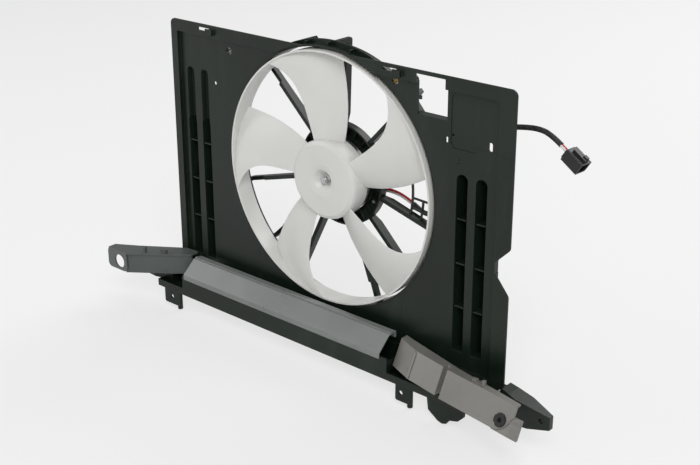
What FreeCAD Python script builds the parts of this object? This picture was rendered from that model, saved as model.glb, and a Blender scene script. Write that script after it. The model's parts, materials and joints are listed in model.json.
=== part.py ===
import FreeCAD, Part
import math
import operator
import os
import Sketcher
from types import SimpleNamespace

# Radiator cooling fan with shroud, motor and lower support, in millimetres.
# The sub-parts are drawn about the fan axis: x to the right seen from the fan side, y from the
# fan side to the motor side with zero on the front of the shroud's edge strip, z up.
# One placement then moves them all, so that the origin lies midway between the two lower arm bolts.

DRIVING_SIZES = {
    # shroud panel
    "panel_left": 307.0,
    "panel_right": 311.0,
    "panel_top": 187.0,
    "panel_bottom": 211.0,
    "panel_corner": 12.0,
    "plate_thickness": 2.5,
    "recess_depth": 6.0,
    "strip_left": 13.0,
    "strip_right": 24.0,
    "strip_top": 18.0,
    "bite_depth": 22.0,
    "bite_top": -20.0,
    "bite_bottom": -84.0,
    "rib_thickness": 2.0,
    "rib_height": 11.5,
    "window_left": 158.0,
    "window_width": 47.0,
    "window_low": 127.0,
    "window_height": 55.0,
    "boss_radius": 10.0,
    "boss_height": 23.0,
    "insert_radius": 5.5,
    "insert_bore": 3.25,
    "small_boss_radius": 5.0,
    "small_boss_bore": 1.8,
    "small_boss_height": 12.0,
    # shroud ring
    "tip_clearance": 3.5,
    "ring_wall": 2.5,
    "ring_rear": 36.0,
    "ring_flange_width": 6.5,
    "ring_flange_front": 18.0,
    # side channels
    "channel_front_width": 19.0,
    "channel_rear_width": 10.0,
    "channel_depth": 24.0,
    "channel_pitch": 30.0,
    "right_channel_place": 231.0,
    "right_channel_top": 52.0,
    "left_channel_place": 274.0,
    "left_channel_top": 108.0,
    "left_channel_step": 30.0,
    "shallow_depth": 8.0,
    "channel_low": 190.0,
    "web_pitch": 62.0,
    # spokes and motor ring
    "spoke_width": 6.0,
    "spoke_front": 36.5,
    "spoke_rear": 50.5,
    "spoke_tip_front": 42.0,
    "spoke_step_radius": 162.0,
    "motor_ring_radius": 76.0,
    "motor_ring_front": 34.5,
    "motor_ring_rear": 46.5,
    "motor_ring_wall": 2.5,
    "guard_rib": 2.0,
    "guard_inner_radius": 128.0,
    "guard_outer_radius": 164.0,
    # motor
    "motor_radius": 54.0,
    "motor_front": 34.0,
    "motor_seam": 58.5,
    "motor_rear": 68.5,
    "motor_wall": 2.0,
    "shaft_radius": 4.0,
    "shaft_front": -1.4,
    "bearing_radius": 9.0,
    "bearing_length": 9.0,
    "running_gap": 0.04,
    "core_radius": 44.5,
    "core_front": 39.5,
    "core_length": 11.0,
    "coil_height": 3.0,
    "magnet_thickness": 5.2,
    "commutator_radius": 12.0,
    "ear_radius": 64.0,
    "ear_thickness": 2.5,
    "motor_screw_radius": 2.5,
    # fan wheel
    "hub_radius": 57.5,
    "hub_front": -4.0,
    "hub_rear": 27.0,
    "hub_wall": 3.0,
    "fan_ring_radius": 184.5,
    "fan_ring_wall": 2.6,
    "fan_ring_front": 0.0,
    "fan_ring_rear": 28.0,
    "blade_count": 5.0,
    "blade_thickness": 2.6,
    "blade_phase": 38.0,
    "nut_radius": 6.5,
    "nut_height": 5.0,
    # lower trough, arms and feet
    "trough_half_length": 320.0,
    "trough_front": 43.0,
    "trough_low": 243.0,
    "trough_wall": 2.5,
    "trough_low_rim": 232.0,
    "arm_length": 78.0,
    "arm_tip_margin": 13.0,
    "arm_bolt_height": -221.0,
    "arm_bolt_radius": 3.3,
    "arm_face": -27.0,
    "foot_low": 276.0,
    # grey support
    "support_top": -186.0,
    "cover_left": 256.0,
    "cover_right": 138.0,
    "cover_sheet": 2.0,
    "bracket_top": -190.0,
    "bracket_lift": 8.0,
    "bracket_lean": 19.0,
    "left_bracket_rise": 5.0,
    "bracket_wall": 2.5,
    "tab_face": 80.0,
    "tab_hole_radius": 11.0,
    "tab_hole_past_trough": 48.0,
    "plug_past_trough": 33.0,
    "plug_radius": 9.0,
    # harness
    "loom_radius": 3.5,
    "lead_radius": 1.6,
    "clip_wall": 2.2,
    "clip_gap": 0.3,
    "connector_length": 26.0,
    "connector_width": 22.0,
    "connector_height": 17.0,
    "connector_wall": 2.0,
}

doc = FreeCAD.newDocument("RadiatorFan")
sheet = doc.addObject("Spreadsheet::Sheet", "Sizes")
for row, (alias, number) in enumerate(DRIVING_SIZES.items(), start=1):
    sheet.set(f"A{row}", alias)
    sheet.set(f"B{row}", str(number))
    sheet.setAlias(f"B{row}", alias)
doc.recompute()


class Size:
    """A length or an angle together with the sheet formula that it comes from."""

    def __init__(self, number, formula):
        self.number = float(number)
        self.formula = formula

    def __float__(self):
        return self.number

    def __add__(self, other):
        return combine(self, "+", other)

    def __radd__(self, other):
        return combine(other, "+", self)

    def __sub__(self, other):
        return combine(self, "-", other)

    def __rsub__(self, other):
        return combine(other, "-", self)

    def __mul__(self, other):
        return combine(self, "*", other)

    def __rmul__(self, other):
        return combine(other, "*", self)

    def __truediv__(self, other):
        return combine(self, "/", other)

    def __neg__(self):
        return combine(0.0, "-", self)


OPERATIONS = {"+": operator.add, "-": operator.sub, "*": operator.mul, "/": operator.truediv}


def as_size(number):
    if isinstance(number, Size):
        return number
    return Size(number, f"({float(number)!r})")


def combine(left, sign, right):
    left = as_size(left)
    right = as_size(right)
    number = OPERATIONS[sign](left.number, right.number)
    return Size(number, f"({left.formula} {sign} {right.formula})")


def cosine(angle):
    angle = as_size(angle)
    return Size(math.cos(math.radians(angle.number)), f"cos({angle.formula})")


def sine(angle):
    angle = as_size(angle)
    return Size(math.sin(math.radians(angle.number)), f"sin({angle.formula})")


size = SimpleNamespace(**{
    alias: Size(sheet.get(alias), f"Sizes.{alias}") for alias in DRIVING_SIZES})

BEYOND = 5.0
UP = FreeCAD.Vector(0, 0, 1)
ALONG_AXIS = FreeCAD.Rotation(FreeCAD.Vector(1, 0, 0), -90)
ALONG_X = FreeCAD.Rotation(FreeCAD.Vector(0, 1, 0), 90)
UPRIGHT = FreeCAD.Rotation()

node_objects = []


def bind(target, prop, length):
    target.setExpression(prop, as_size(length).formula)


def bind_place(target, x, y, z):
    for axis, length in zip("xyz", (x, y, z)):
        bind(target, "Placement.Base." + axis, length)


def block(name, x, y, z):
    """Block between a low and a high bound on each axis."""
    solid = doc.addObject("Part::Box", name)
    for side, (low, high) in zip(("Length", "Width", "Height"), (x, y, z)):
        bind(solid, side, as_size(high) - low)
    bind_place(solid, x[0], y[0], z[0])
    return solid


def rod(name, radius, start, length, turn):
    """Cylinder of a length from its start, along the direction that the turn gives +Z."""
    solid = doc.addObject("Part::Cylinder", name)
    solid.Placement.Rotation = turn
    bind(solid, "Radius", radius)
    bind(solid, "Height", length)
    bind_place(solid, *start)
    return solid


def axial_rod(name, radius, x, y, z):
    """Cylinder parallel to the fan axis, between the two y bounds."""
    return rod(name, radius, (x, y[0], z), as_size(y[1]) - y[0], ALONG_AXIS)


def rod_between(name, radius, start, end):
    """Cylinder from one point to another."""
    run = FreeCAD.Vector(*map(float, end)) - FreeCAD.Vector(*map(float, start))
    return rod(name, radius, start, run.Length, FreeCAD.Rotation(UP, run))


def cone(name, x, y, z, front_radius, rear_radius):
    solid = doc.addObject("Part::Cone", name)
    solid.Placement.Rotation = ALONG_AXIS
    bind(solid, "Radius1", front_radius)
    bind(solid, "Radius2", rear_radius)
    bind(solid, "Height", as_size(y[1]) - y[0])
    bind_place(solid, x, y[0], z)
    return solid


def wedge(name, y, front_x, front_z, rear_x, rear_z):
    """Four-sided block that changes from its front rectangle to its rear one."""
    solid = doc.addObject("Part::Wedge", name)
    bounds = {
        "Ymin": y[0], "Ymax": y[1], "Xmin": front_x[0], "Xmax": front_x[1],
        "Zmin": front_z[0], "Zmax": front_z[1], "X2min": rear_x[0], "X2max": rear_x[1],
        "Z2min": rear_z[0], "Z2max": rear_z[1]}
    for prop, length in bounds.items():
        bind(solid, prop, length)
    return solid


def fused(name, parts, refine=True):
    union = doc.addObject("Part::MultiFuse", name)
    union.Shapes = parts
    union.Refine = refine
    return union


def cut(name, base, tools):
    tool = tools[0] if len(tools) == 1 else fused(name + "_tools", tools)
    result = doc.addObject("Part::Cut", name)
    result.Base = base
    result.Tool = tool
    result.Refine = True
    return result


def grouped(name, parts):
    """Several separate solids that make one node."""
    group = doc.addObject("Part::Compound", name)
    group.Links = parts
    return group


def turned(solid, angle):
    """Turn an object about the fan axis, anticlockwise seen from the fan side."""
    solid.Placement.Rotation = FreeCAD.Rotation(FreeCAD.Vector(0, 1, 0), -float(angle))
    return solid


def turned_block(name, x, y, z, angle):
    """Block along a radius, turned about the fan axis."""
    bar = block(name, x, y, z)
    turn = FreeCAD.Rotation(FreeCAD.Vector(0, 1, 0), -angle)
    start = FreeCAD.Vector(float(x[0]), float(y[0]), float(z[0]))
    for axis in "xyz":
        bar.setExpression("Placement.Base." + axis, None)
    bar.Placement = FreeCAD.Placement(turn.multVec(start), turn)
    return bar


def rounded_block(name, x, y, z, radius, axis):
    """Block whose four edges along one axis are rounded."""
    base = block(name + "_block", x, y, z)
    doc.recompute()
    direction = FreeCAD.Vector(*(float(axis == letter) for letter in "xyz"))
    edges = [
        index for index, edge in enumerate(base.Shape.Edges, start=1)
        if abs(edge.tangentAt(edge.FirstParameter).dot(direction)) > 0.99]
    fillet = doc.addObject("Part::Fillet", name)
    fillet.Base = base
    fillet.Edges = [(index, float(radius), float(radius)) for index in edges]
    return fillet


def origin_plane(body, role):
    return next(plane for plane in body.Origin.OriginFeatures if plane.Role == role)


def outline_sketch(body, name, role, corners):
    """Closed outline of straight lines, each corner dimensioned from the sketch's origin."""
    sketch = body.newObject("Sketcher::SketchObject", name)
    sketch.AttachmentSupport = [(origin_plane(body, role), "")]
    sketch.MapMode = "FlatFace"
    corners = [tuple(map(as_size, corner)) for corner in corners]
    points = [FreeCAD.Vector(float(across), float(up), 0) for across, up in corners]
    count = len(points)
    for index in range(count):
        sketch.addGeometry(Part.LineSegment(points[index], points[(index + 1) % count]), False)
    for index in range(count):
        sketch.addConstraint(Sketcher.Constraint("Coincident", index, 2, (index + 1) % count, 1))
    for index, corner in enumerate(corners):
        for kind, length in zip(("DistanceX", "DistanceY"), corner):
            place = sketch.addConstraint(
                Sketcher.Constraint(kind, -1, 1, index, 1, float(length)))
            bind(sketch, f"Constraints[{place}]", length)
    return sketch


def revolved(label, outline, sweep=360):
    """Body turned about the fan axis; the outline is pairs of radius and depth."""
    body = doc.addObject("PartDesign::Body", label)
    sketch = outline_sketch(body, label + "_outline", "XY_Plane", outline)
    turn = body.newObject("PartDesign::Revolution", label + "_turn")
    turn.Profile = sketch
    turn.ReferenceAxis = (sketch, ["V_Axis"])
    bind(turn, "Angle", sweep)
    body.Tip = turn
    return body


def padded(label, role, outline, length, reverse=False, centred=False):
    """Body of one outline on an origin plane, carried along that plane's normal."""
    body = doc.addObject("PartDesign::Body", label)
    sketch = outline_sketch(body, label + "_outline", role, outline)
    pad = body.newObject("PartDesign::Pad", label + "_pad")
    pad.Profile = sketch
    pad.Reversed = reverse
    pad.Midplane = centred
    bind(pad, "Length", length)
    body.Tip = pad
    return body


def tube(label, inner, outer, depth):
    """Plain sleeve about the fan axis."""
    return revolved(label, [
        (inner, depth[0]), (outer, depth[0]), (outer, depth[1]), (inner, depth[1])])


def node(label, item):
    """Give a finished sub-part the name of its file and the place of the whole part."""
    if item.isDerivedFrom("Part::Primitive"):
        item = grouped(label + "_group", [item])
    item.Label = label
    bind(item, "Placement.Base.y", -size.arm_face)
    bind(item, "Placement.Base.z", -size.arm_bolt_height)
    node_objects.append(item)


# Levels that several sub-parts share
plate_front = size.recess_depth
plate_rear = plate_front + size.plate_thickness
rib_rear = plate_rear + size.rib_height
ring_radius = size.fan_ring_radius + size.tip_clearance
ring_outer = ring_radius + size.ring_wall
flange_radius = ring_outer + size.ring_flange_width
flange_rear = size.ring_flange_front + size.ring_wall
tray_left = -size.panel_left + size.strip_left
tray_right = size.panel_right - size.strip_right
tray_top = size.panel_top - size.strip_top
arm_reach = size.trough_half_length + size.arm_length
arm_bolt_place = arm_reach - size.arm_tip_margin
tab_hole_place = size.trough_half_length + size.tab_hole_past_trough
plug_place = size.trough_half_length + size.plug_past_trough
bracket_low = size.bracket_lift - size.trough_low_rim
left_bracket_low = bracket_low + size.left_bracket_rise
left_bracket_top = size.bracket_top + size.left_bracket_rise


def rear_rib(name, x, z):
    """Rib on the back of the plate, along x or z."""
    return block(name, x, (plate_front + 1, rib_rear), z)


def slanting_rib(name, start, end):
    """Rib on the back of the plate between two (x, z) points."""
    run = math.dist(tuple(map(float, start)), tuple(map(float, end)))
    rise = math.degrees(math.atan2(float(end[1] - start[1]), float(end[0] - start[0])))
    rib = doc.addObject("Part::Box", name)
    rib.Length = run
    bind(rib, "Width", rib_rear - plate_front - 1)
    bind(rib, "Height", size.rib_thickness)
    bind_place(rib, start[0], plate_front + 1, start[1])
    rib.Placement.Rotation = FreeCAD.Rotation(FreeCAD.Vector(0, 1, 0), -rise)
    return rib


def arc_rib(label, radius, width, depth, start, sweep):
    """Rib along part of a circle about the fan axis."""
    rib = revolved(label, [
        (radius - width / 2, depth[0]), (radius + width / 2, depth[0]),
        (radius + width / 2, depth[1]), (radius - width / 2, depth[1])], sweep)
    return turned(rib, float(start) + float(sweep))


def channel(name, place, low, top, depth, wall):
    """Drafted channel with a rounded top; wall 0 gives its hollow."""
    front_half = size.channel_front_width / 2 + wall
    rear_half = size.channel_rear_width / 2 + wall
    start = plate_front if wall else plate_front - BEYOND
    end = plate_front + depth + wall
    sides = [place - front_half, place + front_half]
    rear_sides = [place - rear_half, place + rear_half]
    heights = (low - wall, top)
    body = wedge(name + "_run", (start, end), sides, heights, rear_sides, heights)
    head = cone(name + "_head", place, (start, end), top, front_half, rear_half)
    return fused(name, [body, head])


def side_channels(side, place, top, shallow_top=None):
    """Two channels side by side; returns their walls, hollows and cross webs."""
    walls = []
    hollows = []
    webs = []
    for index in range(2):
        centre = as_size(place) + size.channel_pitch * index
        name = f"{side}_channel_{index + 1}"
        walls.append(channel(
            name, centre, -size.channel_low, top, size.channel_depth, size.plate_thickness))
        hollows.append(channel(
            name + "_hollow", centre, -size.channel_low, top, size.channel_depth, 0))
        if shallow_top is not None:
            walls.append(channel(
                name + "_shallow", centre, top, shallow_top, size.shallow_depth,
                size.plate_thickness))
            hollows.append(channel(
                name + "_shallow_hollow", centre, top, shallow_top, size.shallow_depth, 0))
        for step in range(3):
            level = -2.0 - size.web_pitch * step
            webs.append(block(
                f"{name}_web_{step + 1}",
                (centre - size.channel_rear_width / 2 - 2, centre + size.channel_rear_width / 2 + 2),
                (plate_front + 1, plate_front + size.channel_depth + 1),
                (level, level + size.rib_thickness)))
    return walls, hollows, webs


LEFT_BOSS = (-189.0, 153.0)
RIGHT_BOSS = (120.0, 164.0)


def insert_seat(name, place):
    """Space that a boss's metal sleeve fills, open to the motor side."""
    return axial_rod(name, size.insert_radius, place[0],
                     (plate_rear, plate_rear + size.boss_height + BEYOND), place[1])


def shroud_panel():
    """Moulded plate with its edge strip, channels, ribs, bosses, window and hooks."""
    strip = padded("edge_strip", "XZ_Plane", [
        (-size.panel_left, -size.panel_bottom), (size.panel_right, -size.panel_bottom),
        (size.panel_right, size.bite_bottom),
        (size.panel_right - size.bite_depth, size.bite_bottom + 27),
        (size.panel_right - size.bite_depth, size.bite_top - 22),
        (size.panel_right, size.bite_top),
        (size.panel_right, size.panel_top), (-size.panel_left, size.panel_top)],
        size.plate_thickness, reverse=True)
    doc.recompute()
    strip_pad = strip.Tip
    corners = [
        f"Edge{index}" for index, edge in enumerate(strip_pad.Shape.Edges, start=1)
        if edge.BoundBox.XLength < 0.01 and edge.BoundBox.ZLength < 0.01
        and edge.BoundBox.ZMin > float(size.bite_bottom) - 20]
    rounding = strip.newObject("PartDesign::Fillet", "edge_strip_corners")
    rounding.Base = (strip_pad, corners)
    bind(rounding, "Radius", size.panel_corner * 0.7)
    strip.Tip = rounding

    wall = size.plate_thickness
    tray = block(
        "tray", (tray_left - wall, tray_right + wall), (0, plate_rear),
        (-size.panel_bottom, tray_top + wall))
    tray_hollow = block(
        "tray_hollow", (tray_left, tray_right), (-BEYOND, plate_front),
        (-size.panel_bottom - BEYOND, tray_top))
    bite = padded("tray_bite", "XZ_Plane", [
        (size.panel_right + BEYOND, size.bite_bottom - 5),
        (size.panel_right - size.bite_depth, size.bite_bottom + 27),
        (size.panel_right - size.bite_depth, size.bite_top - 22),
        (size.panel_right + BEYOND, size.bite_top + 4)],
        plate_rear + BEYOND, reverse=True)
    bite_wall = block(
        "bite_wall",
        (size.panel_right - size.bite_depth - wall, size.panel_right - size.bite_depth),
        (0, plate_rear), (size.bite_bottom + 22, size.bite_top - 18))

    right_walls, right_hollows, right_webs = side_channels(
        "right", size.right_channel_place, size.right_channel_top)
    left_walls, left_hollows, left_webs = side_channels(
        "left", -size.left_channel_place, size.left_channel_step, size.left_channel_top)

    rib = size.rib_thickness
    channel_half = size.channel_rear_width / 2 + wall
    right_inner = size.right_channel_place - channel_half
    right_outer = size.right_channel_place + size.channel_pitch + channel_half
    left_inner = -size.left_channel_place + size.channel_pitch + channel_half
    ribs = []
    for index, level in enumerate((41, -10, -61)):
        ribs.append(rear_rib(
            f"right_rib_{index}", (ring_outer - 3, right_inner), (level, level + rib)))
        ribs.append(rear_rib(
            f"between_rib_{index}",
            (right_inner + 6, right_outer - 6), (level + 4, level + 4 + rib)))
    for index, level in enumerate((58, 9)):
        ribs.append(rear_rib(
            f"outer_rib_{index}", (right_outer - 6, tray_right + wall), (level, level + rib)))
    for index, level in enumerate((20, -11, -42)):
        ribs.append(rear_rib(
            f"left_rib_{index}", (left_inner - 6, -ring_outer + 3), (level, level + rib)))
    for name, start, end in (
            ("low_right_1", (135.0, -131.0), (216.0, -182.0)),
            ("low_right_2", (173.0, -70.0), (219.0, -117.0)),
            ("low_right_3", (150.0, -152.0), (150.0, -212.0)),
            ("low_left_1", (-168.0, -98.0), (-236.0, -161.0)),
            ("low_left_2", (-136.0, -133.0), (-236.0, -190.0)),
            ("low_left_3", (-100.0, -163.0), (-128.0, -212.0)),
            ("high_right_1", (139.0, 134.0), (156.0, 152.0)),
            ("high_right_2", (177.0, 70.0), (206.0, 93.0)),
            ("high_left_1", (-176.0, 78.0), (-230.0, 92.0))):
        ribs.append(slanting_rib(name, start, end))
    ribs.append(arc_rib("low_right_arc", as_size(228), rib, (plate_front + 1, rib_rear), -66, 55))
    ribs.append(arc_rib("low_left_arc", as_size(228), rib, (plate_front + 1, rib_rear), 193, 53))
    window_right = size.window_left + size.window_width
    window_top = size.window_low + size.window_height
    ribs.append(rear_rib(
        "window_side_rib", (window_right, window_right + rib),
        (size.window_low - 8, tray_top)))
    ribs.append(rear_rib(
        "window_low_rib", (size.window_left - 6, window_right + rib),
        (size.window_low - rib, size.window_low)))

    bosses = []
    boss_holes = []
    for name, place in (("left", LEFT_BOSS), ("right", RIGHT_BOSS)):
        x, z = place
        bosses.append(axial_rod(
            f"{name}_boss", size.boss_radius, x, (plate_front, plate_rear + size.boss_height), z))
        boss_holes.append(insert_seat(f"{name}_boss_seat", place))
        boss_holes.append(axial_rod(
            f"{name}_boss_hole", size.insert_radius - 0.4, x, (0, plate_rear + BEYOND), z))
    for name, x, z in (("high", 143.0, 168.0), ("low", 214.0, 110.0)):
        bosses.append(axial_rod(
            f"{name}_small_boss", size.small_boss_radius, x,
            (plate_front, plate_rear + size.small_boss_height), z))
        boss_holes.append(axial_rod(
            f"{name}_small_hole", size.small_boss_bore, x,
            (0, plate_rear + size.small_boss_height + BEYOND), z))
    bosses.append(axial_rod("stop_boss", 9.0, 262.0, (plate_front, plate_rear + 7), 84.0))
    boss_holes.append(axial_rod("stop_boss_dimple", 6.0, 262.0, (plate_rear + 2, rib_rear), 84.0))

    hooks = []
    for index, x in enumerate((-222.0, 128.0)):
        hooks.append(block(
            f"top_hook_{index}", (x, x + 8), (-5, wall), (size.panel_top - 14, size.panel_top - 5)))
        hooks.append(block(
            f"top_hook_lip_{index}", (x - 5, x), (-5, -2.5),
            (size.panel_top - 14, size.panel_top - 5)))
    raised_pad = block("raised_pad", (-279, -257), (plate_front - 1.5, plate_front), (134, 157))

    solid = fused("panel_solid", [
        strip, tray, *right_walls, *left_walls, *ribs, *bosses, raised_pad])
    hollows = [
        tray_hollow, bite, *right_hollows, *left_hollows, *boss_holes,
        axial_rod("ring_opening", ring_outer, 0, (-BEYOND, rib_rear + BEYOND), 0),
        block("window", (size.window_left, window_right), (-BEYOND, rib_rear),
              (size.window_low, window_top)),
        block("slot_a", (-247, -223), (-BEYOND, wall + BEYOND),
              (size.panel_top - 10, size.panel_top - 5)),
        block("slot_b", (102, 127), (-BEYOND, wall + BEYOND),
              (size.panel_top - 10, size.panel_top - 5)),
        block("clip_slot_a", (203, 207), (0, plate_rear + BEYOND), (98, 106)),
        block("clip_slot_b", (222, 226), (0, plate_rear + BEYOND), (74, 80)),
        rounded_block("oval_hole", (269, 275), (0, plate_rear + BEYOND), (100, 112), 2.9, "y"),
        axial_rod("dot_hole", 3.0, -221, (0, plate_rear + BEYOND), 99),
        rounded_block("front_pad", (window_right + 6, 257), (0, plate_front + 1),
                      (93, tray_top - 3), 8.0, "y"),
    ]
    for index in range(2):
        hollows.append(axial_rod(
            f"channel_pin_hole_{index}", 2.0,
            -size.left_channel_place + size.channel_pitch * index,
            (0, rib_rear), size.left_channel_top))
    shell = cut("panel_shell", solid, hollows)
    tongue = block("window_tongue", (size.window_left - 1, size.window_left + 5),
                   (plate_front, plate_rear), (147, 152))
    panel = fused("panel_with_webs", [shell, bite_wall, *right_webs, *left_webs, *hooks, tongue])
    doc.recompute()
    split = ring_outer * 0.72
    far = size.panel_right + size.panel_left
    across = (-split, split)
    depth = (-BEYOND - far, far)
    high = 100.0
    for name, x, z in (
            ("panel_left", (-far, -split), (-far, far)),
            ("panel_top", across, (0, far)),
            ("panel_bottom", across, (-far, 0)),
            ("panel_right_high", (split, far), (high, far)),
            ("panel_right_low", (split, far), (-far, high))):
        section = doc.addObject("Part::MultiCommon", name + "_section")
        section.Shapes = [panel, block(name + "_space", x, depth, z)]
        node(name, grouped(name + "_group", [section]))
    return panel


def shroud_ring(panel):
    """Round duct wall with its outer lip and gussets, cut back where the panel's ribs stand."""
    wall = tube("ring_wall", ring_radius, ring_outer, (plate_front, size.ring_rear))
    lip = tube("ring_lip", ring_outer - 1, flange_radius, (size.ring_flange_front, flange_rear))
    gusset_count = 30
    gussets = []
    for index in range(gusset_count):
        gussets.append(turned_block(
            f"gusset_{index}", (ring_outer - 1, flange_radius - 1.5),
            (plate_rear, size.ring_flange_front + 1),
            (-size.rib_thickness / 2, size.rib_thickness / 2),
            360.0 * (index + 0.5) / gusset_count))
    node("shroud_ring", cut("ring_beside_panel", fused(
        "ring_with_gussets", [wall, lip, *gussets]), [panel, insert_seat("ring_seat", RIGHT_BOSS)]))


SPOKE_ANGLES = (15.0, 47.5, 88.0, 107.0, 137.0, 180.0, 196.0, 224.0, 244.0, 289.0, 315.0, 344.0)
WIRE_SPOKE = SPOKE_ANGLES[-1]
GUARD_SPOKE = SPOKE_ANGLES[0]


def spokes():
    """Twelve deep narrow arms from the motor ring over the duct wall and down onto its lip."""
    arms = []
    for index, angle in enumerate(SPOKE_ANGLES):
        arm = padded(f"spoke_{index + 1}", "XY_Plane", [
            (size.motor_ring_radius, size.spoke_front),
            (size.spoke_step_radius, size.spoke_front + 2),
            (size.spoke_step_radius + 3, size.spoke_tip_front),
            (ring_outer, size.spoke_tip_front), (ring_outer, flange_rear),
            (flange_radius, flange_rear), (flange_radius, size.spoke_rear - 2),
            (flange_radius - 3, size.spoke_rear),
            (size.motor_ring_radius + 12, size.spoke_rear),
            (size.motor_ring_radius, size.motor_ring_rear)],
            size.spoke_width, centred=True)
        arms.append(turned(arm, angle))
    node("spokes", grouped("spoke_set", arms))
    return arms[SPOKE_ANGLES.index(WIRE_SPOKE)]


def wire_guard():
    """Light grid between the wire spoke and its neighbour, which keeps the leads off the fan."""
    depth = (size.spoke_front, size.spoke_front + 3.5)
    margin = 1.9
    low = WIRE_SPOKE - 360.0 + margin
    sweep = GUARD_SPOKE - margin - low
    ribs = [
        arc_rib("guard_inner", size.guard_inner_radius, size.guard_rib, depth, low, sweep),
        arc_rib("guard_outer", size.guard_outer_radius, size.guard_rib, depth, low, sweep),
        arc_rib("guard_middle", (size.guard_inner_radius + size.guard_outer_radius) / 2,
                size.guard_rib, depth, low, sweep * 0.42)]
    for index, (angle, reach) in enumerate(((-2.5, ring_radius - 3), (-9.0, None))):
        outer = reach if reach is not None else size.guard_outer_radius
        ribs.append(turned_block(
            f"guard_bar_{index}", (size.guard_inner_radius, outer), depth,
            (-size.guard_rib / 2, size.guard_rib / 2), angle))
    node("wire_guard", fused("guard_grid", ribs))


def motor_ring():
    """Flat ring that carries the motor, ribbed on its fan side."""
    wall = size.motor_ring_wall
    inner = size.motor_radius + 1.5
    outer = size.motor_ring_radius
    ring = revolved("motor_seat", [
        (inner, size.motor_ring_front + 3), (inner + wall, size.motor_ring_front + 3),
        (inner + wall, size.motor_ring_rear - wall), (outer - wall, size.motor_ring_rear - wall),
        (outer - wall, size.motor_ring_front), (outer, size.motor_ring_front),
        (outer, size.motor_ring_rear), (inner, size.motor_ring_rear)])
    rib_count = 24
    ribs = []
    for index in range(rib_count):
        fin = padded(f"seat_rib_{index}", "XY_Plane", [
            (inner + 1, size.motor_ring_front + 3), (outer - 1, size.motor_ring_front + 1),
            (outer - 1, size.motor_ring_rear - 1), (inner + 1, size.motor_ring_rear - 1)],
            1.6, centred=True)
        ribs.append(turned(fin, 360.0 * (index + 0.5) / rib_count))
    holes = [
        axial_rod(f"seat_hole_{index}", size.motor_screw_radius,
                  size.ear_radius * cosine(angle),
                  (size.motor_ring_front, size.motor_ring_rear + BEYOND),
                  size.ear_radius * sine(angle))
        for index, angle in enumerate(EAR_ANGLES)]
    node("motor_ring", cut("motor_seat_drilled", fused("motor_seat_ribbed", [ring, *ribs]), holes))


EAR_ANGLES = (332.0, 92.0, 212.0)
coil_front = size.core_front - size.coil_height
core_rear = size.core_front + size.core_length
coil_rear = core_rear + size.coil_height
card_front = coil_rear + 0.6
card_rear = card_front + 2.0
rear_bearing_end = size.motor_rear + 2.0
rear_bearing_start = rear_bearing_end - 5.5
front_bearing_start = size.motor_front - size.bearing_length
bearing_bore = size.shaft_radius + size.running_gap
magnet_outer = size.motor_radius - size.motor_wall
magnet_inner = magnet_outer - size.magnet_thickness


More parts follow.
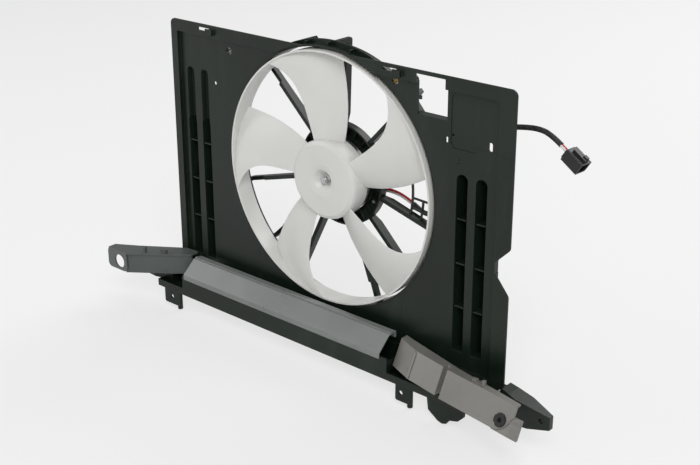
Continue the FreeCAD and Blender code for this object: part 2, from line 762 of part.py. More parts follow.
def motor():
    """Pancake direct-current motor: housing, magnets, brush gear, armature and shaft."""
    wall = size.motor_wall
    nose = size.bearing_radius + wall
    shell = revolved("can_shell", [
        (size.bearing_radius, front_bearing_start - 1), (nose, front_bearing_start - 1),
        (nose, size.motor_front), (size.motor_radius - 3, size.motor_front),
        (size.motor_radius, size.motor_front + 3), (size.motor_radius, size.motor_seam),
        (magnet_outer, size.motor_seam), (magnet_outer, size.motor_front + wall),
        (size.bearing_radius, size.motor_front + wall)])
    ears = []
    ear_holes = []
    for index, angle in enumerate(EAR_ANGLES):
        x = size.ear_radius * cosine(angle)
        z = size.ear_radius * sine(angle)
        depth = (size.motor_ring_rear, size.motor_ring_rear + size.ear_thickness)
        ears.append(axial_rod(f"ear_{index}", size.motor_screw_radius + 5, x, depth, z))
        foot = block(f"ear_foot_{index}", (0, 14), depth, (-7.5, 7.5))
        reach = FreeCAD.Rotation(FreeCAD.Vector(0, 1, 0), -angle)
        for axis in "xyz":
            foot.setExpression("Placement.Base." + axis, None)
        foot.Placement = FreeCAD.Placement(reach.multVec(FreeCAD.Vector(
            float(size.ear_radius) - 14, float(depth[0]), -7.5)), reach)
        ears.append(foot)
        ear_holes.append(axial_rod(
            f"ear_hole_{index}", size.motor_screw_radius, x,
            (size.motor_ring_rear - 1, depth[1] + BEYOND), z))
    core_space = axial_rod("can_space", magnet_outer, 0,
                           (size.motor_front + wall, size.motor_seam + BEYOND), 0)
    lead_exit = rod_between(
        "lead_exit", 4.0, (40.0, LEAD_START[1], LEAD_START[2]),
        (62.0, LEAD_START[1], LEAD_START[2]))
    node("motor_can", cut(
        "can_drilled", fused("can_with_ears", [shell, *ears]),
        [core_space, *ear_holes, lead_exit]))

    cap = revolved("motor_cap_shell", [
        (0, rear_bearing_end), (size.bearing_radius, rear_bearing_end),
        (size.bearing_radius, rear_bearing_start + 1), (nose, rear_bearing_start + 1),
        (nose, size.motor_rear - wall), (size.motor_radius - wall, size.motor_rear - wall),
        (size.motor_radius - wall, size.motor_seam), (size.motor_radius, size.motor_seam),
        (size.motor_radius, size.motor_rear - 3), (size.motor_radius - 3, size.motor_rear),
        (nose + 3, size.motor_rear), (nose, rear_bearing_end + 1.5), (0, rear_bearing_end + 1.5)])
    node("motor_end_cap", cap)

    tiles = [
        turned(revolved(f"magnet_{index}", [
            (magnet_inner, size.core_front - 1), (magnet_outer - 0.05, size.core_front - 1),
            (magnet_outer - 0.05, core_rear + 1), (magnet_inner, core_rear + 1)], 70),
            90.0 * index)
        for index in range(4)]
    node("motor_magnets", grouped("magnet_set", tiles))

    card = tube("brush_plate", size.commutator_radius + 5, magnet_outer - 0.3,
                (card_front, card_rear))
    holders = []
    for index in range(2):
        box = block(f"holder_{index}", (size.commutator_radius + 6, 42), (card_rear - 1, card_rear + 8),
                    (-6, 6))
        hollow = block(f"holder_hollow_{index}", (size.commutator_radius, 40),
                       (card_rear, card_rear + 6), (-4, 4))
        holders.append(turned(cut(f"holder_box_{index}", box, [hollow]), 90.0 + 180.0 * index))
    node("brush_card", fused("brush_card_solid", [card, *holders]))
    brushes = []
    springs = []
    for index in range(2):
        brush = block(f"brush_{index}", (0, 14), (0, 5.4), (-3.7, 3.7))
        bind_place(brush, size.commutator_radius + 0.1, card_rear + 0.3, -3.7)
        brushes.append(turned(grouped(f"brush_turn_{index}", [brush]), 90.0 + 180.0 * index))
        spring = rod(f"spring_{index}", 2.4,
                     (size.commutator_radius + 14.2, card_rear + 3, 0),
                     39.8 - size.commutator_radius - 14.2, ALONG_X)
        springs.append(turned(grouped(f"spring_turn_{index}", [spring]), 90.0 + 180.0 * index))
    node("motor_brushes", grouped("brush_set", brushes))
    node("brush_springs", grouped("spring_set", springs))

    node("front_bearing", tube(
        "front_bush", bearing_bore, size.bearing_radius,
        (front_bearing_start, size.motor_front + 0.5)))
    node("rear_bearing", tube(
        "rear_bush", bearing_bore, size.bearing_radius, (rear_bearing_start, rear_bearing_end)))
    node("motor_shaft", axial_rod(
        "shaft", size.shaft_radius, 0, (size.shaft_front, rear_bearing_end - 0.5), 0))

    core = tube("core_stack", size.shaft_radius, size.core_radius, (size.core_front, core_rear))
    slot_count = 12
    slots = []
    for index in range(slot_count):
        opening = block(f"slot_{index}", (20, size.core_radius + 1),
                        (size.core_front - 1, core_rear + 1), (-1.2, 1.2))
        pocket = block(f"slot_pocket_{index}", (21, size.core_radius - 3),
                       (size.core_front - 1, core_rear + 1), (-2.6, 2.6))
        slots.append(turned(fused(f"slot_shape_{index}", [opening, pocket]),
                            360.0 * index / slot_count))
    node("armature_core", cut("slotted_core", core, slots))
    coil_inner = as_size(17.0)
    coil_outer = size.core_radius - 5
    coils = []
    for name, start, end, crown in (
            ("front_coil", size.core_front, coil_front, 1.0),
            ("rear_coil", core_rear, coil_rear, -1.0)):
        coils.append(revolved(name, [
            (coil_inner, start), (coil_inner, end + crown), (coil_inner + 1.5, end),
            (coil_outer - 3, end), (coil_outer, end + crown), (coil_outer, start)]))
    node("armature_windings", grouped("coil_heads", coils))
    node("commutator", tube(
        "commutator_drum", size.shaft_radius, size.commutator_radius, (core_rear, card_rear + 7)))

    screws = []
    for index, angle in enumerate(EAR_ANGLES):
        x = size.ear_radius * cosine(angle)
        z = size.ear_radius * sine(angle)
        seat = size.motor_ring_rear + size.ear_thickness
        stem = axial_rod(f"screw_stem_{index}", size.motor_screw_radius - 0.05, x,
                         (size.motor_ring_front + 6, seat + 1), z)
        flange = axial_rod(f"screw_flange_{index}", size.motor_screw_radius + 3, x,
                           (seat, seat + 1), z)
        head = doc.addObject("Part::Prism", f"screw_head_{index}")
        head.Polygon = 6
        head.Placement.Rotation = ALONG_AXIS
        bind(head, "Circumradius", size.motor_screw_radius + 2)
        bind(head, "Height", as_size(4.0))
        bind_place(head, x, seat + 0.5, z)
        screws.append(fused(f"motor_screw_{index}", [stem, flange, head]))
    node("motor_screws", grouped("motor_screw_set", screws))


BLADE_STATIONS = (-0.06, 0.2, 0.4, 0.6, 0.75, 0.88, 1.0, 1.08)


def blade_station(share):
    """Closed wire of the blade's section at a share of the way from the root to past the ring."""
    root = float(size.hub_radius)
    tip = float(size.fan_ring_radius - size.fan_ring_wall)
    distance = root + (tip - root) * share
    leading_angle = float(size.blade_phase) + 22.0 * share ** 4
    trailing_angle = float(size.blade_phase) - 40.0 + 17.0 * share
    middle = (leading_angle + trailing_angle) / 2
    leading_depth = float(size.fan_ring_front) + 2.5 - 1.0 * share
    trailing_depth = float(size.fan_ring_rear) - 6.0 + 1.0 * share
    camber = 2.5 + 4.0 * share
    half_thickness = float(size.blade_thickness) * (0.75 - 0.25 * share)
    outward = FreeCAD.Vector(math.cos(math.radians(middle)), 0, math.sin(math.radians(middle)))
    across = FreeCAD.Vector(-outward.z, 0, outward.x)
    along = FreeCAD.Vector(0, 1, 0)
    lead = distance * math.tan(math.radians(leading_angle - middle))
    trail = distance * math.tan(math.radians(trailing_angle - middle))
    sides = []
    for sign in (-1, 1):
        points = []
        for step in range(7):
            chord = step / 6
            thin = half_thickness * (0.35 + 0.65 * math.sin(math.pi * (0.08 + 0.84 * chord)))
            depth = trailing_depth + (leading_depth - trailing_depth) * chord
            depth += -camber * 4 * chord * (1 - chord) + sign * thin
            points.append(outward * distance + across * (trail + (lead - trail) * chord)
                          + along * depth)
        sides.append(points)
    edges = []
    for points in (sides[0], list(reversed(sides[1]))):
        curve = Part.BSplineCurve()
        curve.interpolate(points)
        edges.append(curve.toShape())
    closing = [
        Part.LineSegment(sides[0][-1], sides[1][-1]).toShape(),
        Part.LineSegment(sides[1][0], sides[0][0]).toShape()]
    return Part.Wire([edges[0], closing[0], edges[1], closing[1]])


def fan_wheel():
    """Hub cup, five swept blades and outer ring; together they are one moulding."""
    wall = size.hub_wall
    front = size.hub_front
    inner = size.hub_radius - wall
    hub = revolved("hub_cup", [
        (HUB_BORE, front + 10), (8, front + 10), (16, front + 1.5), (24, front),
        (size.hub_radius - 6, front + 0.6), (size.hub_radius - 1.5, front + 3),
        (size.hub_radius, front + 7), (size.hub_radius, size.hub_rear), (inner, size.hub_rear),
        (inner, front + 8), (inner - 4, front + 4.5), (25, front + 3.5), (17.5, front + 6),
        (12, front + 13.5), (12, front + 22), (HUB_BORE, front + 22)])
    ring = revolved("fan_ring_section", [
        (size.fan_ring_radius - size.fan_ring_wall, size.fan_ring_front),
        (size.fan_ring_radius, size.fan_ring_front),
        (size.fan_ring_radius, size.fan_ring_rear),
        (size.fan_ring_radius - size.fan_ring_wall, size.fan_ring_rear)])
    ribs = []
    for index in range(10):
        ribs.append(turned(padded(f"hub_rib_{index}", "XY_Plane", [
            (11, front + 14), (18, front + 8), (26, front + 3), (inner - 3, front + 4),
            (inner + 1, front + 8), (inner + 1, front + 20), (30, front + 14),
            (11, front + 20)], 1.6, centred=True), 36.0 * index + 18.0))
    depth = (front - size.hub_rear, size.hub_rear * 2)
    inside = fused("blade_root_trim", [
        hub, axial_rod("hub_space", size.hub_radius - wall / 2, 0, depth, 0)])
    beyond = tube("blade_tip_trim", size.fan_ring_radius - size.fan_ring_wall,
                  size.fan_ring_radius + 40, depth)
    loft = Part.makeLoft([blade_station(share) for share in BLADE_STATIONS], True)
    blades = []
    count = int(float(size.blade_count))
    for index in range(count):
        blade = doc.addObject("Part::Feature", f"blade_{index + 1}")
        blade.Shape = loft
        turned(blade, 360.0 * index / count)
        blades.append(cut(f"blade_{index + 1}_trimmed", blade, [inside, beyond]))
    node("fan_hub", fused("hub_with_ribs", [hub, *ribs]))
    node("fan_ring", grouped("fan_ring_group", [ring]))
    node("fan_blades", grouped("blade_set", blades))


HUB_BORE = 7.5
washer_front = size.hub_front + 8.8


def hub_fixings():
    """Metal sleeve moulded in the hub, washer and nut on the shaft's end."""
    front = size.hub_front
    node("hub_insert", tube("hub_sleeve", size.shaft_radius, HUB_BORE, (front + 10, front + 22)))
    node("fan_washer", tube(
        "washer", size.shaft_radius, size.nut_radius + 1.2, (washer_front, front + 10)))
    prism = doc.addObject("Part::Prism", "nut_prism")
    prism.Polygon = 6
    prism.Placement.Rotation = ALONG_AXIS
    bind(prism, "Circumradius", size.nut_radius)
    bind(prism, "Height", size.nut_height)
    bind_place(prism, 0, washer_front - size.nut_height, 0)
    bore = axial_rod("nut_bore", size.shaft_radius, 0, (front - BEYOND, washer_front + BEYOND), 0)
    node("fan_nut", cut("nut", prism, [bore]))


def lower_support():
    """Black trough under the panel, its arms and feet, and the grey support on it."""
    wall = size.trough_wall
    half = size.trough_half_length
    front = -size.trough_front
    low = -size.trough_low
    rim = -size.trough_low_rim
    floor = block("trough_floor", (-half, half), (front, wall), (low, low + wall))
    back = block("trough_back", (-half, half), (0, wall), (low, -size.panel_bottom))
    shelf = block("trough_shelf", (-half, half), (0, plate_front),
                  (-size.panel_bottom - wall, -size.panel_bottom))
    front_wall = block("trough_front_wall", (-half, half), (front, front + wall), (low, rim))
    high_wall = block(
        "trough_high_wall", (-size.cover_left - 6, size.cover_right + 12), (front, front + wall),
        (rim, COVER_LIP - 0.4))
    ends = [
        block(f"trough_end_{index}", (x, x + wall), (front, wall), (low, rim))
        for index, x in enumerate((-half, half - wall))]
    ends += [
        block(f"trough_step_{index}", (x, x + wall), (front, wall), (rim - 1, COVER_LIP - 6))
        for index, x in enumerate((-size.cover_left - 6, size.cover_right + 12 - wall))]
    ribs = [
        block(f"trough_rib_{index}", (x, x + 2), (front + 1, wall - 1), (low + 1, rim + 8))
        for index, x in enumerate((-210.0, -150.0, -90.0, -30.0, 30.0, 90.0))]
    pads = [
        block(f"bracket_pad_{index}", (x - 9, x + 9), (y - 6, y + 6), (low + 1, seat))
        for index, (x, y, seat) in enumerate(BRACKET_PADS)]
    holes = [
        axial_turned(f"bracket_pad_hole_{index}", 2.2, x, y, (low - 1, seat + 1))
        for index, (x, y, seat) in enumerate(BRACKET_PADS)]
    node("lower_trough", cut("trough_drilled", fused(
        "trough_solid", [floor, back, shelf, front_wall, high_wall, *ends, *ribs, *pads]), holes))

    for side, sign in (("left", -1), ("right", 1)):
        node(f"{side}_arm", arm(side, sign))

    foot_top = low
    tab = padded("round_tab_plate", "XZ_Plane", [
        (214, foot_top), (276, foot_top), (274, foot_top - 14), (266, foot_top - 22),
        (252, foot_top - 26), (247, foot_top - 33), (240, foot_top - 35),
        (233, foot_top - 33), (217, foot_top - 22)],
        5, centred=True)
    tab.Placement.Base = FreeCAD.Vector(0, -34, 0)
    node("round_foot", grouped("round_foot_set", [tab]))
    for name, x, reach in (("left", -half + 33, 24), ("right", 178.0, 16)):
        plate = rounded_block(
            f"{name}_foot_plate", (x - reach, x + 12), (-38, -35),
            (-size.foot_low + 6, foot_top), 3, "y")
        shelf = block(f"{name}_foot_shelf", (x - reach, x + 12), (-38, -30), (foot_top - 3, foot_top))
        peg = rod(f"{name}_foot_peg", 4, (x + 6, -33, -size.foot_low),
                  size.foot_low + foot_top - 1, UPRIGHT)
        hole = axial_rod(f"{name}_foot_hole", 3.5, x - 7, (-45, -30), foot_top - 14)
        node(f"{name}_foot", cut(
            f"{name}_foot_drilled", fused(f"{name}_foot_solid", [plate, shelf, peg]), [hole]))

    sheet_gauge = size.cover_sheet
    top = size.support_top
    cover = padded("cover_sheet", "YZ_Plane", [
        (-7, top), (-22, top), (front - 2, COVER_LIP + 4), (front - 2, COVER_LIP - 4),
        (front - 0.2, COVER_LIP - 4), (front - 0.2, COVER_LIP + 3),
        (-22.5, top - sheet_gauge), (-9, top - sheet_gauge), (-9, top - 9), (-7, top - 9)],
        size.cover_left + size.cover_right)
    cover.Placement.Base = FreeCAD.Vector(-float(size.cover_left), 0, 0)
    bead = block("cover_bead", (-size.cover_left, size.cover_right), (-19, -14), (top - 1, top + 1.5))
    node("support_cover", fused("cover_with_bead", [cover, bead]))


COVER_LIP = -210.0
BRACKET_PADS = (
    (170.0, -19.0, bracket_low), (203.0, -30.0, bracket_low),
    (-size.trough_half_length + 37, -12.0, left_bracket_low),
    (-size.trough_half_length + 11, -24.0, left_bracket_low))

# The right bracket's outer face starts at the groove, runs to the tip and leans back.
BRACKET_TIP = size.trough_half_length + 52
GROOVE_PLACE = 252.0
GROOVE_FACE = -62.0
BRACKET_RISE = float(size.bracket_lean) / (float(size.bracket_top) - float(bracket_low))
FACE_RUN = FreeCAD.Vector(float(BRACKET_TIP) - GROOVE_PLACE, -float(size.tab_face) - GROOVE_FACE, 0)
PLUG_HEIGHT = bracket_low + 12
PLUG_FACE = (GROOVE_FACE + FACE_RUN.y / FACE_RUN.x * (float(plug_place) - GROOVE_PLACE)
             + BRACKET_RISE * (float(PLUG_HEIGHT) - float(bracket_low)))
PLUG_NORMAL = FACE_RUN.cross(FreeCAD.Vector(0, BRACKET_RISE, 1))


def axial_turned(name, radius, x, y, z):
    """Upright cylinder between two heights."""
    return rod(name, radius, (x, y, z[0]), as_size(z[1]) - z[0], UPRIGHT)


def arm(side, sign):
    """Tapered plastic arm with a flat bolting pad at its tip."""
    half = size.trough_half_length
    low = -size.trough_low
    reach = arm_reach
    face = size.arm_face
    beam = padded(f"{side}_arm_plan", "XY_Plane", [
        (half, -18), (half + 26, face), (reach, face), (reach, face + 8), (half + 40, -4),
        (half, 2.5)], -200 - low)
    beam.Placement.Base = FreeCAD.Vector(0, 0, float(low))
    side_shape = padded(f"{side}_arm_side", "XZ_Plane", [
        (half, -203), (half + 14, -204), (reach, size.arm_bolt_height + 9),
        (reach, size.arm_bolt_height - 9), (half + 45, low + 3), (half, low)],
        80, centred=True)
    solid = doc.addObject("Part::MultiCommon", f"{side}_arm_solid")
    solid.Shapes = [beam, side_shape]
    hollow = block(f"{side}_arm_hollow", (half + 6, half + 40), (-14, 10), (low + 8, -212))
    hole = axial_rod(f"{side}_arm_bolt", size.arm_bolt_radius, arm_bolt_place,
                     (face - 5, 10), size.arm_bolt_height)
    drilled = cut(f"{side}_arm_drilled", solid, [hollow, hole])
    if sign > 0:
        return drilled
    mirrored = doc.addObject("Part::Mirroring", f"{side}_arm_mirror")
    mirrored.Source = drilled
    mirrored.Normal = FreeCAD.Vector(1, 0, 0)
    return mirrored


def leaning_prism(label, front_line, rear_line, height, front_lean, rear_lean=(0.0, 0.0)):
    """Solid between two heights whose front and rear lines move back by their lean at each."""
    rings = []
    for end, level, front_back, rear_back in zip(("low", "top"), height, front_lean, rear_lean):
        ring = doc.addObject("Part::Polygon", f"{label}_{end}")
        front = [FreeCAD.Vector(float(x), float(y + front_back), float(level)) for x, y in front_line]
        rear = [FreeCAD.Vector(float(x), float(y + rear_back), float(level)) for x, y in rear_line]
        ring.Nodes = [*front, *reversed(rear)]
        ring.Close = True
        rings.append(ring)
    solid = doc.addObject("Part::Loft", label)
    solid.Sections = rings
    solid.Solid = True
    solid.Ruled = True
    return solid


def leaning_plate(label, line, depth, height, rise, foot):
    """Plate behind a front line, which leans back by rise for each millimetre above its foot."""
    back = [(float(level) - float(foot)) * rise for level in height]
    return leaning_prism(
        label, line, [(x, y + depth) for x, y in line], height, back, back)


def bracket_shell(name, front_line, rear_line, height, rise):
    """Channel bracket, open at its back: top, bottom and a front wall that may lean back."""
    wall = float(size.bracket_wall)
    low = float(height[0])
    top = float(height[1])
    outer = leaning_prism(
        f"{name}_plan", front_line, rear_line, (low, top), (0.0, (top - low) * rise))
    inner_front = [(x, y + wall) for x, y in front_line]
    inner_rear = [(x, y + 30.0) for x, y in rear_line]
    inner = leaning_prism(
        f"{name}_inside", inner_front, inner_rear, (low + wall, top - wall),
        (wall * rise, (top - low - wall) * rise))
    shell = doc.addObject("Part::Cut", f"{name}_shell")
    shell.Base = outer
    shell.Tool = inner
    return shell


def square_to_bracket(label, item):
    """The item turned about the plug's place, from the fan axis to the leaning face's normal."""
    turn = FreeCAD.Rotation(FreeCAD.Vector(0, -1, 0), PLUG_NORMAL)
    place = FreeCAD.Vector(float(plug_place), float(PLUG_FACE), float(PLUG_HEIGHT))
    turned = grouped(label, [item])
    turned.Placement = FreeCAD.Placement(place - turn.multVec(place), turn)
    return turned


def brackets():
    """Grey bolting brackets, which sweep forward from the ends of the cover."""
    low = bracket_low
    top = size.bracket_top
    face = -size.tab_face
    wall = size.bracket_wall
    tip = BRACKET_TIP
    right_front = [(152.0, -32.0), (190.0, -48.0), (243.0, -59.0), (244.5, -51.0), (250.5, -53.0),
                   (GROOVE_PLACE, GROOVE_FACE), (tip, face)]
    right_rear = [(152.0, -1.0), (176.0, -8.0), (263.0, -31.0), (tip, -54.0)]
    shell = bracket_shell("right_bracket", right_front, right_rear, (low, top), BRACKET_RISE)
    end_cut = padded("right_end_cut", "XZ_Plane", [
        (tip - 24, low - 1), (tip - 12, low + 5), (tip - 6, low + 12), (tip - 3, low + 19),
        (tip + 4, low + 22), (tip + 4, low - 1)], 60, centred=True)
    end_cut.Placement.Base = FreeCAD.Vector(0, float(face), 0)
    end_tab = leaning_plate(
        "right_tab", [(tip - 30, face + 6.5), (tip - 2, face + 1.8), (tip + 12, face)], wall + 1,
        (low - 2, top - 14), BRACKET_RISE, low)
    crease = leaning_plate("right_crease", [(188.5, -49.3), (191.5, -50.0)], 3, (low + 1, top - 1),
                           BRACKET_RISE, low)
    pegs = [
        block("right_peg", (tip - 62, tip - 58), (-49, -45), (top - 1, top + 8)),
        block("right_hook", (tip - 80, tip - 72), (-46, -41), (top - 1, top + 4))]
    ribs = [
        leaning_plate(f"right_bracket_rib_{index}", [(x, y), (x + 2, y)], 14, (low + 1, top - 1),
                      BRACKET_RISE, low)
        for index, (x, y) in enumerate(((300.0, -67.0), (330.0, -71.5)))]
    plug_seat = square_to_bracket("plug_seat", axial_rod(
        "plug_seat_bore", size.plug_radius, plug_place, (-90, -50), PLUG_HEIGHT))
    pad_holes = [
        axial_turned(f"right_pad_hole_{index}", 2.2, x, y, (seat - 1, seat + 6))
        for index, (x, y, seat) in enumerate(BRACKET_PADS[:2])]
    node("right_bracket", cut(
        "right_bracket_drilled", fused("right_bracket_solid", [
            cut("right_bracket_ended", shell, [end_cut]), end_tab, crease, *pegs, *ribs]),
        [plug_seat, *pad_holes]))

    tip = -size.trough_half_length - 30
    low = left_bracket_low
    top = left_bracket_top
    edge = -size.trough_half_length
    left_front = [(edge + 50, -14.0), (edge + 28, -33.0), (tip - 4, face + 1)]
    left_rear = [(edge + 50, 0.0), (edge + 26, -1.5), (tip - 10, -46.0)]
    shell = bracket_shell("left_bracket", left_front[::-1], left_rear[::-1], (low, top), 0.0)
    end_tab = rounded_block("left_tab", (tip - 46, tip), (face, face + wall), (low + 1, top), 8, "y")
    gusset = block("left_tab_rib", (tip - 40, tip), (face + 1, face + 14), (top - wall, top))
    flange = padded("left_flange", "XY_Plane", [
        (tip - 44, face), (tip, face), (edge + 28, -36), (edge + 52, -16), (edge + 52, -3),
        (edge + 26, -2.5),
        (tip - 10, -46), (tip - 44, face + 14)], wall)
    flange.Placement.Base = FreeCAD.Vector(0, 0, float(top - wall))
    pegs = [
        block("left_peg", (tip + 16, tip + 20), (-58, -54), (top - 1, top + 9)),
        block("left_hook", (tip + 36, tip + 47), (-40, -35), (top - 1, top + 5))]
    hole = axial_rod("left_tab_hole", size.tab_hole_radius, -tab_hole_place,
                     (face - BEYOND, face + 30), TAB_HEIGHT)
    pad_holes = [
        axial_turned(f"left_pad_hole_{index}", 2.2, x, y, (seat - 1, seat + 6))
        for index, (x, y, seat) in enumerate(BRACKET_PADS[2:])]
    node("left_bracket", cut(
        "left_bracket_drilled", fused("left_bracket_solid", [
            shell, end_tab, gusset, flange, *pegs]),
        [hole, *pad_holes]))

    screws = []
    for index, (x, y, seat) in enumerate(BRACKET_PADS):
        stem = axial_turned(f"pad_screw_stem_{index}", 2.15, x, y,
                            (-size.trough_low - 1, seat + 5))
        head = axial_turned(f"pad_screw_head_{index}", 5, x, y,
                            (-size.trough_low - 3, -size.trough_low))
        screws.append(fused(f"pad_screw_{index}", [stem, head]))
    node("bracket_screws", grouped("bracket_screw_set", screws))

    plug_body = axial_rod("plug_body", size.plug_radius - 0.05, plug_place,
                          (PLUG_FACE - 1.6, PLUG_FACE + 10), PLUG_HEIGHT)
    socket = axial_rod("plug_socket", 3.2, plug_place, (PLUG_FACE - 10, PLUG_FACE + 20), PLUG_HEIGHT)
    lobes = [
        turned_about(f"plug_groove_{index}", 45.0 + 90.0 * index)
        for index in range(4)]
    node("bracket_plug", grouped("plug_set", [
        square_to_bracket("plug_turned", cut("plug", plug_body, [socket, *lobes]))]))


TAB_HEIGHT = left_bracket_low + 16


def turned_about(name, angle):
    """Small groove round the plug's edge."""
    return axial_rod(
        name, 2.0, plug_place + (size.plug_radius + 0.6) * cosine(angle), (PLUG_FACE - 10, PLUG_FACE + 6),
        PLUG_HEIGHT + (size.plug_radius + 0.6) * sine(angle))


def inserts_and_labels():
    """Metal sleeves of the two upper bosses, blank label and small tag."""
    depth = (plate_rear, plate_rear + size.boss_height + 0.5)
    for name, (x, z) in (("zinc_insert", LEFT_BOSS), ("brass_insert", RIGHT_BOSS)):
        sleeve = axial_rod(name + "_body", size.insert_radius, x, depth, z)
        bore = axial_rod(name + "_bore", size.insert_bore, x, (0, depth[1] + BEYOND), z)
        node(name, cut(name + "_sleeve", sleeve, [bore]))
    node("blank_label", block(
        "label_sheet", (250, 281), (plate_rear, plate_rear + 0.3), (114, 162)))
    tag = arc_rib("tag_strip", ring_outer + 0.2, as_size(0.4), (flange_rear + 1, size.ring_rear - 1),
                  89, 4)
    node("ring_tag", grouped("ring_tag_set", [tag]))


LEAD_START = (50.6, 53.5, -15.0)
LEAD_BEND = (63.0, 54.0, -13.5)
LOOM_START = (116.0, 56.0, -23.0)
CLIP_ENTRY = (209.0, 26.4, 72.8)
CLIP_EXIT = (215.5, 27.0, 85.0)
HELD_ROUTE = (LOOM_START, (134.3, 53.2, -29.8), (147.5, 50.3, -28.6), (158.7, 47.8, -20.6),
              (173.0, 45.3, 0.0), (187.0, 43.0, 26.0), (201.0, 39.0, 54.0), CLIP_ENTRY, CLIP_EXIT)
TAIL_ROUTE = (CLIP_EXIT, (224.7, 27.9, 102.5), (243.0, 30.0, 117.0), (268.0, 31.0, 125.5),
              (296.0, 32.0, 131.5), (321.0, 32.0, 135.0), (341.0, 31.0, 132.0),
              (357.0, 30.0, 121.5))


def bent_tube(name, radius, route):
    """Round tube along straight runs joined by the largest tangent arcs that they allow."""
    points = [FreeCAD.Vector(*point) for point in route]
    edges = []
    at = points[0]
    tightest = None
    for before, corner, after in zip(points, points[1:], points[2:]):
        arriving = (corner - before).normalize()
        leaving = (after - corner).normalize()
        turn = arriving.getAngle(leaving)
        reach = 0.45 * min((corner - before).Length, (after - corner).Length)
        bend = reach / math.tan(turn / 2)
        tightest = bend if tightest is None else min(tightest, bend)
        start = corner - arriving * reach
        end = corner + leaving * reach
        inward = (leaving - arriving).normalize()
        centre_distance = bend / math.cos(turn / 2)
        middle = corner + inward * (centre_distance - bend)
        edges.append(Part.LineSegment(at, start).toShape())
        edges.append(Part.Arc(start, middle, end).toShape())
        at = end
    edges.append(Part.LineSegment(at, points[-1]).toShape())
    path = Part.Wire(edges)
    section = Part.Wire(Part.Circle(points[0], points[1] - points[0], radius).toShape())
    solid = path.makePipeShell([section], True, False)
    expected = math.pi * radius ** 2 * path.Length
    print(f"{name}: length {path.Length:.1f}, tightest radius {tightest:.1f}, "
          f"volume share {solid.Volume / expected:.4f}")
    feature = doc.addObject("Part::Feature", name)
    feature.Shape = solid
    return feature


def clip_round(name, place, direction, foot_end):
    """Ring clip about the loom with a foot."""
    half = 4.0
    start = place - direction * half
    end = place + direction * half
    outer = size.loom_radius + size.clip_gap + size.clip_wall
    body = rod_between(name + "_body", outer, tuple(start), tuple(end))
    foot = rod_between(name + "_foot", 2.6, tuple(place), tuple(foot_end))
    bore = rod_between(name + "_bore", size.loom_radius + size.clip_gap,
                       tuple(start - direction * 8), tuple(end + direction * 8))
    return cut(name + "_ring", fused(name + "_solid", [body, foot]), [bore])


def harness(wire_spoke):
    """Leads from the motor, taped loom with its two clips, and the connector on its tail."""
    loom = float(size.loom_radius)
    lead = float(size.lead_radius)
    apart = lead + 0.1
    onward = (FreeCAD.Vector(*HELD_ROUTE[1]) - FreeCAD.Vector(*LOOM_START)).normalize()
    beside = onward.cross(FreeCAD.Vector(0, 1, 0)).normalize()
    loom_face = FreeCAD.Vector(*LOOM_START) - onward * 0.2
    for name, shift in (("red_lead", 1), ("white_lead", -1)):
        offset = apart * shift
        route = ((LEAD_START[0], LEAD_START[1], LEAD_START[2] + offset),
                 (LEAD_BEND[0], LEAD_BEND[1], LEAD_BEND[2] + offset),
                 (75.0, 56.0, -13.0 + offset),
                 (90.0, 57.5, -15.0 + offset), (104.0, 57.0, -19.0 + offset),
                 tuple(loom_face + beside * offset))
        node(name, bent_tube(name + "_wire", lead, route))
    grommet = rod_between("grommet_body", 3.9, LEAD_START,
                          (57.0, LEAD_START[1], LEAD_START[2]))
    passages = [
        rod_between(f"grommet_hole_{index}", lead + 0.1,
                    (LEAD_START[0], LEAD_START[1], LEAD_START[2] + apart * shift),
                    (LEAD_BEND[0], LEAD_BEND[1], LEAD_BEND[2] + apart * shift))
        for index, shift in enumerate((-1, 1))]
    node("lead_grommet", cut("grommet", grommet, passages))
    node("harness_loom", bent_tube("held_loom", loom, HELD_ROUTE))
    node("harness_tail", bent_tube("free_loom", loom, TAIL_ROUTE))

    entry = FreeCAD.Vector(*CLIP_ENTRY)
    exit_point = FreeCAD.Vector(*CLIP_EXIT)
    along = (exit_point - entry).normalize()
    place = entry + along * 7.5
    node("panel_clip", clip_round(
        "panel_clip", place, along, (place.x, float(plate_rear), place.z)))
    corner = FreeCAD.Vector(*HELD_ROUTE[3])
    onward = (FreeCAD.Vector(*HELD_ROUTE[4]) - corner).normalize()
    place = corner + onward * 10.1
    spoke_side = FreeCAD.Vector(
        -math.sin(math.radians(WIRE_SPOKE)), 0, math.cos(math.radians(WIRE_SPOKE)))
    offset = place.dot(spoke_side) - float(size.spoke_width) / 2
    outward = FreeCAD.Vector(spoke_side.z, 0, -spoke_side.x)
    node("spoke_clip", cut("spoke_clip_seated", clip_round(
        "spoke_clip", place, onward, place - spoke_side * offset + outward * 8.0), [wire_spoke]))
    connector(apart, lead)


